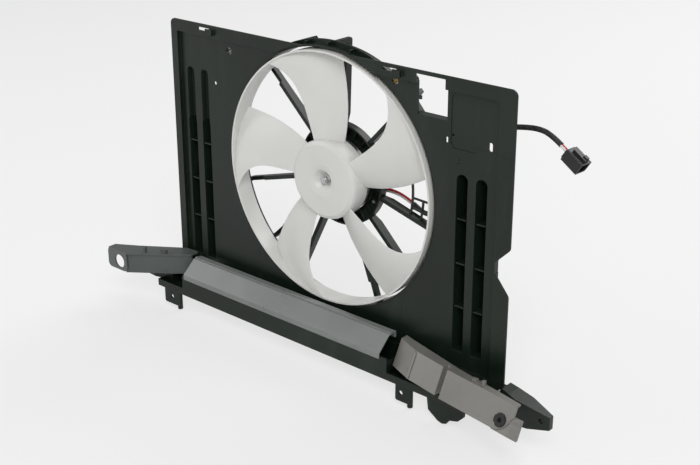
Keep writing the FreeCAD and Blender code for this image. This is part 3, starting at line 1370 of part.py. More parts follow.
def connector(apart, lead):
    """Two-way connector at the end of the tail, with its wires, seals and terminals."""
    tail_end = FreeCAD.Vector(*TAIL_ROUTE[-1])
    direction = (tail_end - FreeCAD.Vector(*TAIL_ROUTE[-2])).normalize()
    wire_length = 13.0
    turn = FreeCAD.Rotation(FreeCAD.Vector(1, 0, 0), direction)
    side = turn.multVec(FreeCAD.Vector(0, 1, 0))
    rear = tail_end + direction * wire_length
    for name, shift in (("tail_red_wire", 1), ("tail_white_wire", -1)):
        start = tail_end + side * (apart * shift)
        node(name, rod_between(name + "_rod", lead, tuple(start),
                               tuple(start + direction * (wire_length + 5.0))))
    place = FreeCAD.Placement(rear, turn)
    length = size.connector_length
    half_width = size.connector_width / 2
    half_height = size.connector_height / 2
    wall = size.connector_wall
    shell = rounded_block("connector_shell", (0, length), (-half_width, half_width),
                          (-half_height, half_height), 2.5, "x")
    mouth = rounded_block("connector_mouth", (length - 15, length + BEYOND),
                          (-half_width + wall, half_width - wall),
                          (-half_height + wall, half_height - wall), 1.5, "x")
    rail = block("connector_rail", (4, length - 2), (-4, 4), (half_height - 1, half_height + 3))
    hook = wedge("connector_hook", (0, 5), (length - 9, length - 3), (half_height, half_height + 4.5),
                 (length - 9, length - 3), (half_height, half_height + 4.5))
    collar = block("connector_collar", (-2, 3), (-half_width + 2.5, half_width - 2.5),
                   (-half_height + 2.5, half_height - 2.5))
    passages = [
        rod(f"connector_passage_{index}", lead + 0.8, (-5, apart * shift, 0), length - 9, ALONG_X)
        for index, shift in enumerate((-1, 1))]
    housing = cut("connector_drilled", fused(
        "connector_solid", [shell, rail, hook, collar]), [mouth, *passages])
    terminals = [
        block(f"terminal_{index}", (5, length - 10), (shift * 2.9 - 1.0, shift * 2.9 + 1.0), (-0.4, 0.4))
        for index, shift in enumerate((-1, 1))]
    seal = cut("seal_drilled", fused("seal_solid", [
        rod(f"seal_lobe_{index}", lead + 0.8, (-3, apart * shift, 0), 7, ALONG_X)
        for index, shift in enumerate((-1, 1))]), [
            rod(f"seal_hole_{index}", lead, (-6, apart * shift, 0), 14, ALONG_X)
            for index, shift in enumerate((-1, 1))])
    for name, item in (
            ("connector_housing", housing),
            ("connector_seal", seal),
            ("connector_terminals", grouped("terminal_set", terminals))):
        placed = grouped(name + "_placed", [item])
        item.Placement = place
        node(name, placed)


shroud_ring(shroud_panel())
wire_spoke = spokes()
wire_guard()
motor_ring()
motor()
fan_wheel()
hub_fixings()
lower_support()
brackets()
inserts_and_labels()
harness(wire_spoke)
doc.recompute()

for item in doc.Objects:
    if "Invalid" in item.State or "Error" in item.State:
        raise RuntimeError(f"{item.Name} has not been built: {item.State}")
for item in node_objects:
    if item.Shape.isNull() or not item.Shape.isValid() or not item.Shape.Solids:
        raise RuntimeError(f"{item.Label} has no valid solid")
    print(f"{item.Label}: {len(item.Shape.Solids)} solids, {item.Shape.Volume:.0f} mm3")

os.makedirs("parts", exist_ok=True)
for item in node_objects:
    item.Shape.exportStep(f"parts/{item.Label}.step")
print(f"{len(node_objects)} sub-parts written")
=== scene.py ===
"""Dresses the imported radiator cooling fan: finishes, moulded blades, brush springs and lead.

Lengths in the classes are millimetres about the fan axis, as in the part's source: x to the
right seen from the fan side, y from the fan side to the motor side, z up. SHIFT and MILLIMETRE
carry them into the frame's metres.
"""

import json
import logging
from dataclasses import dataclass
from enum import Enum

import bmesh
import bpy
import numpy as np
from mathutils import Matrix, Vector


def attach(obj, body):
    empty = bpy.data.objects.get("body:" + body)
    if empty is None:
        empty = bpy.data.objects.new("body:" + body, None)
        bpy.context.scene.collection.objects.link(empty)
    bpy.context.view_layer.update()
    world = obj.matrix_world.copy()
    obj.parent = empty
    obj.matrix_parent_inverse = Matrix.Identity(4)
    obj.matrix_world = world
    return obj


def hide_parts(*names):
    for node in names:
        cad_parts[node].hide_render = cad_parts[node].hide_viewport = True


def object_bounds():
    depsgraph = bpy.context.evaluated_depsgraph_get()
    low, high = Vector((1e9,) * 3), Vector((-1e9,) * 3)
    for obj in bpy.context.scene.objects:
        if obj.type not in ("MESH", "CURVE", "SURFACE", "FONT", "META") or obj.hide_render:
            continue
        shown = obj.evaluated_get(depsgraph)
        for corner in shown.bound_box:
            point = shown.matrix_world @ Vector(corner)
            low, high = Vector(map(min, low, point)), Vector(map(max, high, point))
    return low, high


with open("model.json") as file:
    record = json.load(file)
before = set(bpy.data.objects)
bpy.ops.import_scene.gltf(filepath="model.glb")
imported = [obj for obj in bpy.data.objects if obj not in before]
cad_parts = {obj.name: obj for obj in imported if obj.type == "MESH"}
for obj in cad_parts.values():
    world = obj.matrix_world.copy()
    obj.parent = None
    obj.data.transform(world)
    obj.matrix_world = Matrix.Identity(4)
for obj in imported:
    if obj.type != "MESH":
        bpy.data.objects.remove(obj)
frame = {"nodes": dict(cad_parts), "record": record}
CAD_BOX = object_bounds()

MILLIMETRE = 0.001
SHIFT = np.array([0.0, 27.0, 221.0])
SHROUD_BODY = "shroud_and_motor"
ROTOR_BODY = "fan_rotor"
DUST = (0.30, 0.31, 0.29)
LINT = (0.2, 0.2, 0.2)
log = logging.getLogger("radiator_fan")

Colour = tuple[float, float, float]
Point = tuple[float, float, float]


def to_frame(points: np.ndarray) -> np.ndarray:
    """Carries points from millimetres about the fan axis to metres in the frame.

    Args:
        points: Array whose last axis holds x, y and z.

    Returns:
        The same points in the frame.
    """
    return (np.asarray(points, float) + SHIFT) * MILLIMETRE


class Channel:
    """A shader socket that takes part in Python sums and products of numbers."""

    def __init__(self, sheet: "FinishSheet", socket: bpy.types.NodeSocket) -> None:
        """Keeps the socket and the sheet it belongs to."""
        self.sheet = sheet
        self.socket = socket

    def _with(self, operation: str, left: object, right: object) -> "Channel":
        """Adds one Math node.

        Args:
            operation: The node's operation.
            left: First value or channel.
            right: Second value or channel.

        Returns:
            The node's result.
        """
        return self.sheet.result("ShaderNodeMath", {"operation": operation}, {0: left, 1: right})

    def __add__(self, other: object) -> "Channel":
        """Sum."""
        return self._with("ADD", self, other)

    __radd__ = __add__

    def __sub__(self, other: object) -> "Channel":
        """Difference."""
        return self._with("SUBTRACT", self, other)

    def __rsub__(self, other: object) -> "Channel":
        """Difference the other way round."""
        return self._with("SUBTRACT", other, self)

    def __mul__(self, other: object) -> "Channel":
        """Product."""
        return self._with("MULTIPLY", self, other)

    __rmul__ = __mul__

    def __truediv__(self, other: object) -> "Channel":
        """Quotient."""
        return self._with("DIVIDE", self, other)

    def spread(self, low: float, high: float, start: float = 0.0, end: float = 1.0) -> "Channel":
        """Maps a range of the channel to another, held at both ends.

        Args:
            low: Value that gives start.
            high: Value that gives end.
            start: Result at low.
            end: Result at high.

        Returns:
            The mapped channel.
        """
        return self.sheet.result(
            "ShaderNodeMapRange", {"clamp": True}, {0: self, 1: low, 2: high, 3: start, 4: end})


class Bands(Enum):
    """Directions in which stripes follow each other."""

    ALONG_X = "X"
    ALONG_AXIS = "Y"
    ALONG_Z = "Z"
    SLANTING = "DIAGONAL"


class FinishSheet:
    """One material's nodes, added by type, settings and sockets."""

    def __init__(self, name: str) -> None:
        """Makes the material with its empty surface shader."""
        self.material = bpy.data.materials.new(name)
        self.material.use_nodes = True
        self.tree = self.material.node_tree
        self.surface = self.tree.nodes["Principled BSDF"]

    def node(self, kind: str, settings: dict, inputs: dict) -> bpy.types.Node:
        """Adds a node, its settings first and then its sockets.

        Args:
            kind: The node's type.
            settings: Attributes by name.
            inputs: Values, colours or channels by socket name or number.

        Returns:
            The node.
        """
        made = self.tree.nodes.new(kind)
        for name, value in settings.items():
            setattr(made, name, value)
        for key, value in inputs.items():
            self.feed(made.inputs[key], value)
        return made

    def feed(self, socket: bpy.types.NodeSocket, value: object) -> None:
        """Links a channel to a socket, or sets the socket's value."""
        if isinstance(value, Channel):
            self.tree.links.new(value.socket, socket)
        else:
            socket.default_value = value

    def result(self, kind: str, settings: dict, inputs: dict, output: object = 0) -> Channel:
        """Adds a node and returns one of its outputs."""
        return Channel(self, self.node(kind, settings, inputs).outputs[output])

    def place(self, stretch: Point = (1.0, 1.0, 1.0), centre: Point = (0.0, 0.0, 0.0)) -> Channel:
        """Object coordinates, centred and then stretched.

        Args:
            stretch: Factor along each axis.
            centre: Point in metres that becomes the origin.

        Returns:
            The vector channel.
        """
        point = self.result("ShaderNodeTexCoord", {}, {}, "Object")
        centred = self.result(
            "ShaderNodeVectorMath", {"operation": "SUBTRACT"}, {0: point, 1: centre})
        return self.result(
            "ShaderNodeVectorMath", {"operation": "MULTIPLY"}, {0: centred, 1: stretch})

    def noise(self, scale: float, detail: float = 3.0,
              stretch: Point = (1.0, 1.0, 1.0)) -> Channel:
        """Cloudy noise between 0 and 1 in object coordinates."""
        return self.result("ShaderNodeTexNoise", {}, {
            "Vector": self.place(stretch), "Scale": scale, "Detail": detail})

    def stripes(self, scale: float, bands: Bands, distortion: float = 0.0) -> Channel:
        """Smooth parallel stripes."""
        return self.result("ShaderNodeTexWave", {
            "wave_type": "BANDS", "bands_direction": bands.value}, {
                "Vector": self.place(), "Scale": scale, "Distortion": distortion}, "Fac")

    def rings(self, scale: float, distortion: float = 0.0) -> Channel:
        """Turned rings about the fan axis."""
        return self.result("ShaderNodeTexWave", {
            "wave_type": "RINGS", "rings_direction": "Y"}, {
                "Vector": self.place(centre=tuple(SHIFT * MILLIMETRE)), "Scale": scale,
                "Distortion": distortion}, "Fac")

    def blend(self, share: Channel, first: object, second: object) -> Channel:
        """Mixes two colours by a share."""
        ends = [value if isinstance(value, Channel) else (*value, 1.0)
                for value in (first, second)]
        return self.result("ShaderNodeMix", {"data_type": "RGBA"}, {
            0: share, 6: ends[0], 7: ends[1]}, 2)

    def relief(self, height: Channel, depth: float, edge: float = 0.0) -> None:
        """Feeds the surface's normal from a height channel, over softened edges.

        Args:
            height: Channel that is high where the surface stands proud.
            depth: How far it stands proud, in metres.
            edge: Radius in metres at which sharp edges look rounded, or 0 to leave them sharp.
        """
        bump = {"Height": height, "Distance": depth}
        if edge:
            bump["Normal"] = self.result("ShaderNodeBevel", {"samples": 6}, {"Radius": edge})
        self.feed(self.surface.inputs["Normal"], self.result("ShaderNodeBump", {}, bump))

    def set(self, **sockets: object) -> None:
        """Sets or links the surface's sockets; underscores stand for spaces."""
        for name, value in sockets.items():
            self.feed(self.surface.inputs[name.replace("_", " ")], value)


def shade(colour: Colour, factor: float) -> Colour:
    """A lighter or darker version of a colour."""
    return tuple(min(1.0, part * factor) for part in colour)


@dataclass(frozen=True)
class Finish:
    """Base of all finishes: a name and a colour."""

    name: str
    colour: Colour

    def material(self) -> bpy.types.Material:
        """Builds the material.

        Returns:
            The finished material.
        """
        sheet = FinishSheet(self.name)
        self.paint(sheet)
        return sheet.material

    def paint(self, sheet: FinishSheet) -> None:
        """Fills the sheet; each kind of finish has its own."""
        raise NotImplementedError


@dataclass(frozen=True)
class MouldedPlastic(Finish):
    """Spark-textured moulding with flow clouds and a little pale dust."""

    roughness: float = 0.46
    texture: float = 1500.0
    depth: float = 0.00004
    dust: float = 0.10
    edge: float = 0.0009

    def paint(self, sheet: FinishSheet) -> None:
        """Clouds shift the colour, fine noise gives the moulded texture."""
        clouds = sheet.noise(7.0, detail=4.0)
        fine = sheet.noise(self.texture, detail=2.0)
        streaks = sheet.noise(26.0, detail=3.0, stretch=(1.0, 1.0, 0.22))
        base = sheet.blend(clouds.spread(0.35, 0.65), shade(self.colour, 0.8),
                           shade(self.colour, 1.25))
        dusty = sheet.blend(streaks.spread(0.55, 0.85, end=self.dust), base, DUST)
        sheet.set(Base_Color=dusty, Specular_IOR_Level=0.4,
                  Roughness=(clouds - 0.5) * 0.16 + (fine - 0.5) * 0.08 + self.roughness)
        sheet.relief(fine + streaks * 0.6, self.depth, self.edge)


@dataclass(frozen=True)
class NaturalPlastic(Finish):
    """Milky unfilled plastic of the fan, a little see-through, with faint flow marks."""

    roughness: float = 0.36

    def paint(self, sheet: FinishSheet) -> None:
        """Faint clouds of two sizes; light spreads a few millimetres under the skin."""
        clouds = sheet.noise(11.0, detail=3.0)
        flow = sheet.noise(5.0, detail=2.0)
        fine = sheet.noise(420.0, detail=2.0)
        tone = (clouds * 0.6 + flow * 0.4).spread(0.35, 0.65)
        sheet.set(
            Base_Color=sheet.blend(tone, shade(self.colour, 0.95), shade(self.colour, 1.03)),
            Roughness=(clouds - 0.5) * 0.12 + (fine - 0.5) * 0.05 + self.roughness,
            Subsurface_Weight=0.3, Subsurface_Scale=0.004,
            Subsurface_Radius=(1.0, 0.95, 0.85))
        sheet.relief(fine, 0.00002)


@dataclass(frozen=True)
class SprayedSteel(Finish):
    """Satin paint on pressed steel with orange peel, flecks and small chips."""

    roughness: float = 0.42
    coat: float = 0.15
    edge: float = 0.0008

    def paint(self, sheet: FinishSheet) -> None:
        """Orange peel in the normal, clouds in the colour, and darker chips."""
        peel = sheet.noise(260.0, detail=2.0)
        clouds = sheet.noise(9.0, detail=4.0)
        scuffs = sheet.noise(60.0, detail=5.0, stretch=(0.25, 1.0, 1.0)).spread(0.60, 0.70)
        base = sheet.blend(clouds.spread(0.3, 0.7), shade(self.colour, 0.86),
                           shade(self.colour, 1.12))
        worn = sheet.blend(scuffs * 0.35, base, shade(self.colour, 0.55))
        sheet.set(Base_Color=worn, Coat_Weight=self.coat, Metallic=0.1,
                  Roughness=(clouds - 0.5) * 0.2 + scuffs * 0.12 + self.roughness)
        sheet.relief(peel - scuffs * 0.4, 0.00005, self.edge)


@dataclass(frozen=True)
class BareMetal(Finish):
    """Plated, ground or sintered metal."""

    roughness: float = 0.28
    brushed: float = 0.0
    turned: bool = False
    grain: float = 500.0

    def paint(self, sheet: FinishSheet) -> None:
        """Stretched noise for brushing, rings for turned faces, clouds for plating."""
        clouds = sheet.noise(40.0, detail=4.0)
        grain = sheet.noise(self.grain, detail=2.0, stretch=(1.0, 1.0 - 0.9 * self.brushed, 1.0))
        height = grain + sheet.rings(420.0) * 0.6 if self.turned else grain
        sheet.set(
            Base_Color=sheet.blend(clouds.spread(0.35, 0.7), shade(self.colour, 0.85), self.colour),
            Metallic=1.0,
            Roughness=(clouds - 0.5) * 0.18 + (grain - 0.5) * 0.12 + self.roughness)
        sheet.relief(height, 0.00002)


@dataclass(frozen=True)
class LaminatedSteel(Finish):
    """Stack of stamped sheets, seen as thin lines across the fan axis."""

    def paint(self, sheet: FinishSheet) -> None:
        """Stripes along the axis, one for each sheet of half a millimetre."""
        sheets = sheet.stripes(320.0, Bands.ALONG_AXIS)
        clouds = sheet.noise(70.0)
        sheet.set(Base_Color=sheet.blend(sheets * 0.6 + clouds * 0.3, shade(self.colour, 0.6),
                                         self.colour),
                  Metallic=0.9, Roughness=clouds * 0.2 + 0.35)
        sheet.relief(sheets, 0.00008)


@dataclass(frozen=True)
class WoundWire(Finish):
    """Varnished copper wire laid in rings."""

    def paint(self, sheet: FinishSheet) -> None:
        """Rings a wire's width apart, with painted shade in the grooves between the wires."""
        wires = sheet.rings(230.0, distortion=1.5)
        clouds = sheet.noise(120.0)
        # Painted shade: the colour darkens to 0.4 where the rings are low, in the grooves between
        # the wires.
        sheet.set(Base_Color=sheet.blend(wires, shade(self.colour, 0.4), self.colour),
                  Metallic=0.85, Roughness=clouds * 0.2 + 0.25, Coat_Weight=0.4)
        sheet.relief(wires, 0.0003)


@dataclass(frozen=True)
class SoftRubber(Finish):
    """Dull rubber or silicone with a powdery bloom."""

    roughness: float = 0.72

    def paint(self, sheet: FinishSheet) -> None:
        """Bloom clouds and a fine grain."""
        bloom = sheet.noise(90.0, detail=4.0)
        fine = sheet.noise(1800.0)
        sheet.set(Base_Color=sheet.blend(bloom.spread(0.4, 0.8), self.colour,
                                         shade(self.colour, 1.5)),
                  Roughness=(bloom - 0.5) * 0.2 + self.roughness)
        sheet.relief(fine, 0.00004)


@dataclass(frozen=True)
class WrappedTape(Finish):
    """Cloth-backed tape wound round the wires with overlapping edges."""

    turns: float = 34.0

    def paint(self, sheet: FinishSheet) -> None:
        """Slanting overlaps with painted shade along each overlap's edge, a fine weave and pale
        lint.
        """
        laps = sheet.stripes(self.turns, Bands.SLANTING, distortion=0.6)
        weave = sheet.stripes(900.0, Bands.ALONG_X) * sheet.stripes(900.0, Bands.ALONG_Z)
        lint = sheet.noise(300.0, detail=4.0).spread(0.6, 0.8)
        step = laps.spread(0.80, 0.98)
        # Painted shade: the tape darkens to 0.4 in the sunken groove at each overlap's edge.
        base = sheet.blend(step, self.colour, shade(self.colour, 0.4))
        sheet.set(Base_Color=sheet.blend(lint * 0.15, base, LINT),
                  Roughness=lint * 0.1 + 0.55 - step * 0.1)
        sheet.relief(step * -1.0 + weave * 0.15, 0.0003)


@dataclass(frozen=True)
class WireSkin(Finish):
    """Extruded insulation with faint lengthwise lines."""

    def paint(self, sheet: FinishSheet) -> None:
        """Fine noise drawn out and small colour clouds."""
        clouds = sheet.noise(160.0)
        lines = sheet.noise(900.0, detail=2.0, stretch=(0.1, 1.0, 1.0))
        sheet.set(Base_Color=sheet.blend(clouds, shade(self.colour, 0.85), shade(self.colour, 1.1)),
                  Roughness=(lines - 0.5) * 0.1 + 0.38)
        sheet.relief(lines, 0.00003)


@dataclass(frozen=True)
class BareLabel(Finish):
    """Blank printed film, glossy, with a slightly wavy face."""

    def paint(self, sheet: FinishSheet) -> None:
        """Paper clouds and a shallow wave of trapped air."""
        waves = sheet.noise(60.0, detail=2.0)
        fibres = sheet.noise(700.0, detail=3.0)
        sheet.set(Base_Color=sheet.blend(fibres, shade(self.colour, 0.95), self.colour),
                  Roughness=(waves - 0.5) * 0.15 + 0.3, Coat_Weight=0.3)
        sheet.relief(waves, 0.0001)


FINISHES: tuple[Finish, ...] = (
    MouldedPlastic("shroud_plastic", (0.0075, 0.0140, 0.0092), 0.34, dust=0.05),
    NaturalPlastic("fan_white", (0.74, 0.74, 0.715)),
    SprayedSteel("support_grey", (0.23, 0.245, 0.24), 0.30),
    SprayedSteel("bracket_warm_grey", (0.20, 0.195, 0.18), 0.34),
    SprayedSteel("bracket_green_grey", (0.095, 0.108, 0.102), 0.34),
    BareMetal("screw_steel", (0.62, 0.62, 0.6), 0.3),
    SoftRubber("plug_rubber", (0.02, 0.02, 0.02)),
    BareMetal("zinc", (0.78, 0.79, 0.8), 0.22, brushed=0.6),
    BareMetal("brass", (0.80, 0.69, 0.44), 0.34, brushed=0.6),
    BareLabel("label_white", (0.85, 0.85, 0.83)),
    SprayedSteel("motor_black", (0.02, 0.02, 0.022), 0.22, coat=0.5),
    BareMetal("zinc_plate", (0.8, 0.82, 0.84), 0.24, brushed=0.3, turned=True),
    BareMetal("ferrite", (0.09, 0.09, 0.095), 0.62, grain=900.0),
    MouldedPlastic("card_brown", (0.16, 0.085, 0.045), 0.5),
    BareMetal("carbon", (0.07, 0.07, 0.07), 0.6, grain=1200.0),
    BareMetal("bronze", (0.42, 0.26, 0.13), 0.5, grain=1400.0),
    BareMetal("shaft_steel", (0.66, 0.66, 0.67), 0.2, turned=True),
    LaminatedSteel("core_steel", (0.3, 0.3, 0.31)),
    WoundWire("copper", (0.7, 0.27, 0.13)),
    SoftRubber("grommet_grey", (0.4, 0.4, 0.38)),
    WireSkin("wire_red", (0.55, 0.015, 0.02)),
    WireSkin("wire_white", (0.8, 0.8, 0.78)),
    WrappedTape("loom_black", (0.018, 0.018, 0.019)),
    MouldedPlastic("connector_black", (0.02, 0.02, 0.022), 0.34, texture=1900.0, depth=0.00002,
                   dust=0.04),
    SoftRubber("seal_orange", (0.45, 0.14, 0.03)),
)


class Wardrobe:
    """All finishes, built once, and given to nodes and new pieces by the record's slots."""

    def __init__(self) -> None:
        """Builds every finish."""
        self.materials = {finish.name: finish.material() for finish in FINISHES}

    def dress(self, item: bpy.types.Object, slot: str) -> None:
        """Puts one finish on an object in place of what it has."""
        item.data.materials.clear()
        item.data.materials.append(self.materials[slot])

    def dress_nodes(self) -> None:
        """Dresses each carried-over node with the finish that the record names for it."""
        for part in frame["record"]["subparts"]:
            self.dress(frame["nodes"][part["node"]], part["material_slot"])


def surface_piece(name: str, grids: list[np.ndarray]) -> bpy.types.Object:
    """Makes a mesh object from closed bodies, each with its points on a grid of two parameters.

    Args:
        name: The piece's name.
        grids: One grid for each body, all of one shape, in the frame: rows along the body by
            columns round it. The last column joins the first, and one face closes each end row.

    Returns:
        The linked object, smooth-shaded, with its faces outwards.
    """
    rows, columns = grids[0].shape[:2]
    row, column = np.meshgrid(np.arange(rows - 1), np.arange(columns), indexing="ij")
    beside = (column + 1) % columns
    quads = np.stack([row * columns + column, (row + 1) * columns + column,
                      (row + 1) * columns + beside, row * columns + beside], -1).reshape(-1, 4)
    faces: list[list[int]] = []
    for index in range(len(grids)):
        offset = index * rows * columns
        faces += (quads + offset).tolist()
        faces.append((np.arange(columns) + offset).tolist())
        faces.append((np.arange(columns)[::-1] + offset + (rows - 1) * columns).tolist())
    mesh = bpy.data.meshes.new(name)
    mesh.from_pydata(np.concatenate([grid.reshape(-1, 3) for grid in grids]).tolist(), [], faces)
    mesh.polygons.foreach_set("use_smooth", np.ones(len(mesh.polygons), bool))
    item = bpy.data.objects.new(name, mesh)
    bpy.context.scene.collection.objects.link(item)
    point_outwards(mesh)
    return item


def point_outwards(mesh: bpy.types.Mesh) -> None:
    """Turns all faces of closed shells outwards."""
    work = bmesh.new()
    work.from_mesh(mesh)
    bmesh.ops.recalc_face_normals(work, faces=work.faces)
    work.to_mesh(mesh)
    work.free()


@dataclass
class FanBlades:
    """The five swept blades, with rounded edges and fillets at the hub and ring.

    Lengths are millimetres and angles degrees. Swell is how much thicker a blade grows where
    it meets the hub, and fillet how fast that fades. Bury is how far its ends go into the hub
    and the ring. Past holds the shares, below the root and above the ring, that the sections
    reach before they are trimmed. First turn, in radians, is where a section's points start.
    """

    count: int = 5
    hub_radius: float = 57.5
    ring_inner: float = 181.9
    root_angle: float = 38.0
    root_chord_angle: float = 40.0
    leading_sweep: float = 22.0
    trailing_sweep: float = 17.0
    ring_front: float = 0.0
    ring_rear: float = 28.0
    front_inset: float = 2.5
    rear_inset: float = 6.0
    root_camber: float = 2.5
    camber_gain: float = 4.0
    thickness: float = 2.6
    root_half: float = 0.75
    half_taper: float = 0.25
    edge_half: float = 0.35
    edge_start: float = 0.08
    edge_roundness: float = 0.4
    swell: float = 0.55
    fillet: float = 4.0
    bury: float = 1.4
    past: tuple[float, float] = (-0.3, 1.15)
    first_turn: float = 0.02

    def stations(self, share: np.ndarray, turn: np.ndarray) -> np.ndarray:
        """Points of the flat sections before they are trimmed at the hub and ring.

        A section is a chord between the leading and trailing edge, arched forwards by the
        camber, with half the thickness added on each side. Going once round the section the
        chord share is (1 - cos turn) / 2, and the side is the sign of sin turn.

        Args:
            share: Places from the root, 0, to the ring, 1.
            turn: Angles round the section.

        Returns:
            Points as shares by turns by three.
        """
        s = share[:, None]
        chord = (1 - np.cos(turn))[None, :] / 2
        side = (np.sign(np.sin(turn)) * np.abs(np.sin(turn)) ** self.edge_roundness)[None, :]
        distance = self.hub_radius + (self.ring_inner - self.hub_radius) * s
        leading = np.radians(self.root_angle + self.leading_sweep * np.abs(s) ** 4)
        trailing = np.radians(self.root_angle - self.root_chord_angle + self.trailing_sweep * s)
        middle = (leading + trailing) / 2
        lead = distance * np.tan(leading - middle)
        trail = distance * np.tan(trailing - middle)
        front = self.ring_front + self.front_inset - s
        rear = self.ring_rear - self.rear_inset + s
        bulge = np.sin(np.pi * (self.edge_start + (1 - 2 * self.edge_start) * chord))
        half = self.thickness * (self.root_half - self.half_taper * s) * (
            self.edge_half + (1 - self.edge_half) * bulge)
        span = distance - self.hub_radius
        half = half * (1 + self.swell * np.exp(-span.clip(0) / self.fillet))
        arch = (self.root_camber + self.camber_gain * s) * 4 * chord * (1 - chord)
        depth = rear + (front - rear) * chord - arch + side * half
        across = trail + (lead - trail) * chord
        return np.stack([
            np.cos(middle) * distance - np.sin(middle) * across, depth,
            np.sin(middle) * distance + np.cos(middle) * across], -1)

    def trimmed(self, rows: int = 56, columns: int = 72, sections: int = 400) -> np.ndarray:
        """Sections cut again at equal radii, so that both ends follow the hub and the ring.

        Each column's points are interpolated linearly where its radius passes the wanted one.

        Args:
            rows: Number of radii.
            columns: Number of points round a section.
            sections: Number of flat sections that are cut.

        Returns:
            Points as rows by columns by three.
        """
        turn = np.linspace(0, 2 * np.pi, columns, endpoint=False) + self.first_turn
        points = self.stations(np.linspace(*self.past, sections), turn)
        radius = np.hypot(points[..., 0], points[..., 2])
        ease = (1 - np.cos(np.linspace(0, np.pi, rows))) / 2
        wanted = (self.hub_radius - self.bury) * (1 - ease) + (self.ring_inner + self.bury) * ease
        after = (radius[:, :, None] < wanted).sum(0).clip(1, len(points) - 1)
        column = np.arange(columns)[:, None]
        low, high = radius[after - 1, column], radius[after, column]
        share = ((wanted - low) / (high - low))[..., None]
        grid = points[after - 1, column] * (1 - share) + points[after, column] * share
        return grid.transpose(1, 0, 2)

    def build(self, wardrobe: Wardrobe) -> None:
        """Makes the five blades as one piece that stands for the node."""
        blade = self.trimmed()
        angles = 2 * np.pi * np.arange(self.count) / self.count
        grids = [to_frame(np.stack([
            blade[..., 0] * np.cos(a) - blade[..., 2] * np.sin(a), blade[..., 1],
            blade[..., 0] * np.sin(a) + blade[..., 2] * np.cos(a)], -1)) for a in angles]
        piece = surface_piece("moulded_blades", grids)
        wardrobe.dress(piece, "fan_white")
        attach(piece, ROTOR_BODY)
        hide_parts("fan_blades")
        log.info("blades: %d faces", len(piece.data.polygons))


@dataclass
class BrushSprings:
    """The two coil springs that press the brushes on the commutator."""

    middle_y: float = 59.1
    start: float = 26.3
    end: float = 39.6
    coil_radius: float = 1.9
    wire_radius: float = 0.42
    turns: float = 6.5
    steps: int = 190
    corners: int = 10

    def spring(self, direction: float) -> np.ndarray:
        """Tube along a helix: the wire's circle stands square to the helix at each point.

        Args:
            direction: 1 for the spring above the shaft, -1 for the one below.

        Returns:
            Points as steps by corners by three, in the frame.
        """
        step = np.linspace(0, 1, self.steps)
        angle = 2 * np.pi * self.turns * step
        outward = np.stack([np.cos(angle), np.sin(angle), np.zeros_like(angle)], -1)
        centre = outward * self.coil_radius
        centre[:, 1] += self.middle_y
        centre[:, 2] = direction * (self.start + (self.end - self.start) * step)
        tangent = np.gradient(centre, axis=0)
        tangent /= np.linalg.norm(tangent, axis=1, keepdims=True)
        side = np.cross(tangent, outward)
        corner = np.linspace(0, 2 * np.pi, self.corners, endpoint=False)[None, :, None]
        return to_frame(centre[:, None] + self.wire_radius * (
            np.cos(corner) * outward[:, None] + np.sin(corner) * side[:, None]))

    def build(self, wardrobe: Wardrobe) -> None:
        """Makes both springs as one piece that stands for the node."""
        piece = surface_piece("coiled_brush_springs", [self.spring(1.0), self.spring(-1.0)])
        wardrobe.dress(piece, "screw_steel")
        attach(piece, SHROUD_BODY)
        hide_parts("brush_springs")
        log.info("brush springs: %d faces", len(piece.data.polygons))


@dataclass
class FreeLead:
    """The taped lead beyond the panel's clip, with the connector on its end."""

    diameter: float = 7.0
    length: float = 162.1
    route: tuple[Point, ...] = (
        (215.5, 27.0, 85.0), (224.7, 27.9, 102.5), (243.0, 30.0, 117.0), (268.0, 31.0, 125.5),
        (296.0, 32.0, 131.5), (321.0, 32.0, 135.0), (341.0, 31.0, 132.0), (357.0, 30.0, 121.5))
    carried: tuple[str, ...] = (
        "tail_red_wire", "tail_white_wire", "connector_housing", "connector_seal",
        "connector_terminals")

    def build(self, wardrobe: Wardrobe) -> None:
        points = to_frame(np.array(self.route))
        line = bpy.data.curves.new("taped_lead", "CURVE")
        line.dimensions = "3D"
        line.bevel_depth = self.diameter / 2 * MILLIMETRE
        line.bevel_resolution = 6
        line.use_fill_caps = True
        spline = line.splines.new("NURBS")
        spline.points.add(len(points) - 1)
        for place, point in zip(spline.points, points):
            place.co = (*point, 1.0)
        spline.order_u = 3
        spline.use_endpoint_u = True
        spline.resolution_u = 16
        piece = bpy.data.objects.new("taped_lead", line)
        bpy.context.scene.collection.objects.link(piece)
        wardrobe.dress(piece, "loom_black")
        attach(piece, SHROUD_BODY)
        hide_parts("harness_tail")
        log.info("lead: %.0f mm", self.length)


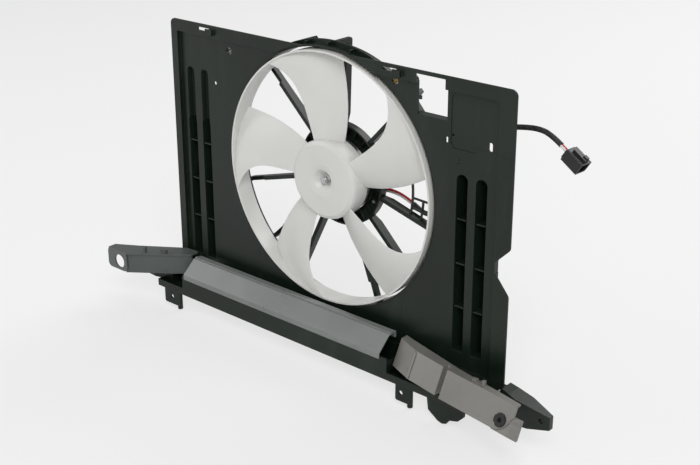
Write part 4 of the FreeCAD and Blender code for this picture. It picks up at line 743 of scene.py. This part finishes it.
@dataclass
class Studio:
    """Camera at the photograph's angle, pale floor, soft lights and white surroundings."""

    place: Point = (1.05927, -1.14754, 0.80227)
    right: Point = (0.75669, 0.65377, -0.00176)
    ahead: Point = (-0.61449, 0.71031, -0.34329)
    lens: float = 62.0
    shift: tuple[float, float] = (0.004, -0.078)
    floor_width: float = 60.0
    floor_gap: float = 0.0005
    floor_glow: float = 0.6
    ambient: float = 0.30

    def camera(self) -> None:
        """Sets the camera square to its right and ahead directions."""
        right = Vector(self.right).normalized()
        ahead = Vector(self.ahead).normalized()
        up = right.cross(ahead).normalized()
        right = ahead.cross(up)
        data = bpy.data.cameras.new("camera")
        data.lens = self.lens
        data.shift_x, data.shift_y = self.shift
        camera = bpy.data.objects.new("camera", data)
        axes = Matrix((right, up, -ahead)).transposed().to_4x4()
        camera.matrix_world = Matrix.Translation(self.place) @ axes
        bpy.context.scene.collection.objects.link(camera)
        bpy.context.scene.camera = camera

    def lamp(self, name: str, place: Point, aim: Point, width: float, power: float) -> None:
        """Adds a square soft lamp.

        Args:
            name: Its name.
            place: Where it stands.
            aim: Point that it faces.
            width: Its side.
            power: Its power in watts.
        """
        data = bpy.data.lights.new(name, "AREA")
        data.size = width
        data.energy = power
        item = bpy.data.objects.new(name, data)
        item.location = place
        item.rotation_mode = "QUATERNION"
        item.rotation_quaternion = (Vector(aim) - Vector(place)).to_track_quat("-Z", "Y")
        bpy.context.scene.collection.objects.link(item)

    def surroundings(self) -> None:
        """World that lights softly and shows white to the camera and in reflections."""
        world = bpy.data.worlds.new("surroundings")
        bpy.context.scene.world = world
        world.use_nodes = True
        tree = world.node_tree
        seen = tree.nodes.new("ShaderNodeLightPath")
        either = tree.nodes.new("ShaderNodeMath")
        either.operation = "MAXIMUM"
        strength = tree.nodes.new("ShaderNodeMapRange")
        strength.inputs[3].default_value = self.ambient
        strength.inputs[4].default_value = 1.0
        tree.links.new(seen.outputs["Is Camera Ray"], either.inputs[0])
        tree.links.new(seen.outputs["Is Transmission Ray"], either.inputs[1])
        tree.links.new(either.outputs[0], strength.inputs[0])
        tree.links.new(strength.outputs[0], tree.nodes["Background"].inputs["Strength"])
        tree.nodes["Background"].inputs["Color"].default_value = (1.0, 1.0, 1.0, 1.0)

    def floor(self, height: float) -> None:
        """Wide pale floor that is nearly white to the camera and keeps the shadow."""
        half = self.floor_width / 2
        mesh = bpy.data.meshes.new("floor")
        mesh.from_pydata([(-half, -half, height), (half, -half, height), (half, half, height),
                          (-half, half, height)], [], [(0, 1, 2, 3)])
        item = bpy.data.objects.new("floor", mesh)
        bpy.context.scene.collection.objects.link(item)
        sheet = FinishSheet("floor_white")
        sheet.set(Base_Color=(0.86, 0.86, 0.86, 1.0), Roughness=0.9, Specular_IOR_Level=0.1)
        seen = sheet.result("ShaderNodeLightPath", {}, {}, "Is Camera Ray")
        glow = sheet.result("ShaderNodeEmission", {}, {"Color": (1.0, 1.0, 1.0, 1.0)})
        mixed = sheet.result("ShaderNodeMixShader", {}, {
            0: seen * self.floor_glow, 1: Channel(sheet, sheet.surface.outputs[0]), 2: glow})
        output = sheet.tree.nodes["Material Output"]
        sheet.tree.links.new(mixed.socket, output.inputs["Surface"])
        mesh.materials.append(sheet.material)

    def build(self) -> None:
        """Sets up everything that isn't the object."""
        low, high = CAD_BOX
        middle = tuple((low + high) / 2)
        self.camera()
        self.surroundings()
        self.floor(low.z - self.floor_gap)
        self.lamp("key", (2.2, -2.4, 3.0), middle, width=2.2, power=88.0)
        self.lamp("fill", (-2.8, -1.8, 1.6), middle, width=2.2, power=26.0)
        self.lamp("back", (0.4, 3.0, 2.6), middle, width=2.6, power=60.0)
        bpy.context.scene.view_settings.view_transform = "Standard"
        log.info("studio set")


def main() -> None:
    """Builds the studio, the lead and the pieces, dresses the nodes and notes the sizes."""
    logging.basicConfig(level=logging.INFO, format="%(name)s: %(message)s")
    wardrobe = Wardrobe()
    Studio().build()
    FreeLead().build(wardrobe)
    wardrobe.dress_nodes()
    FanBlades().build(wardrobe)
    BrushSprings().build(wardrobe)


if __name__ == "__main__":
    main()
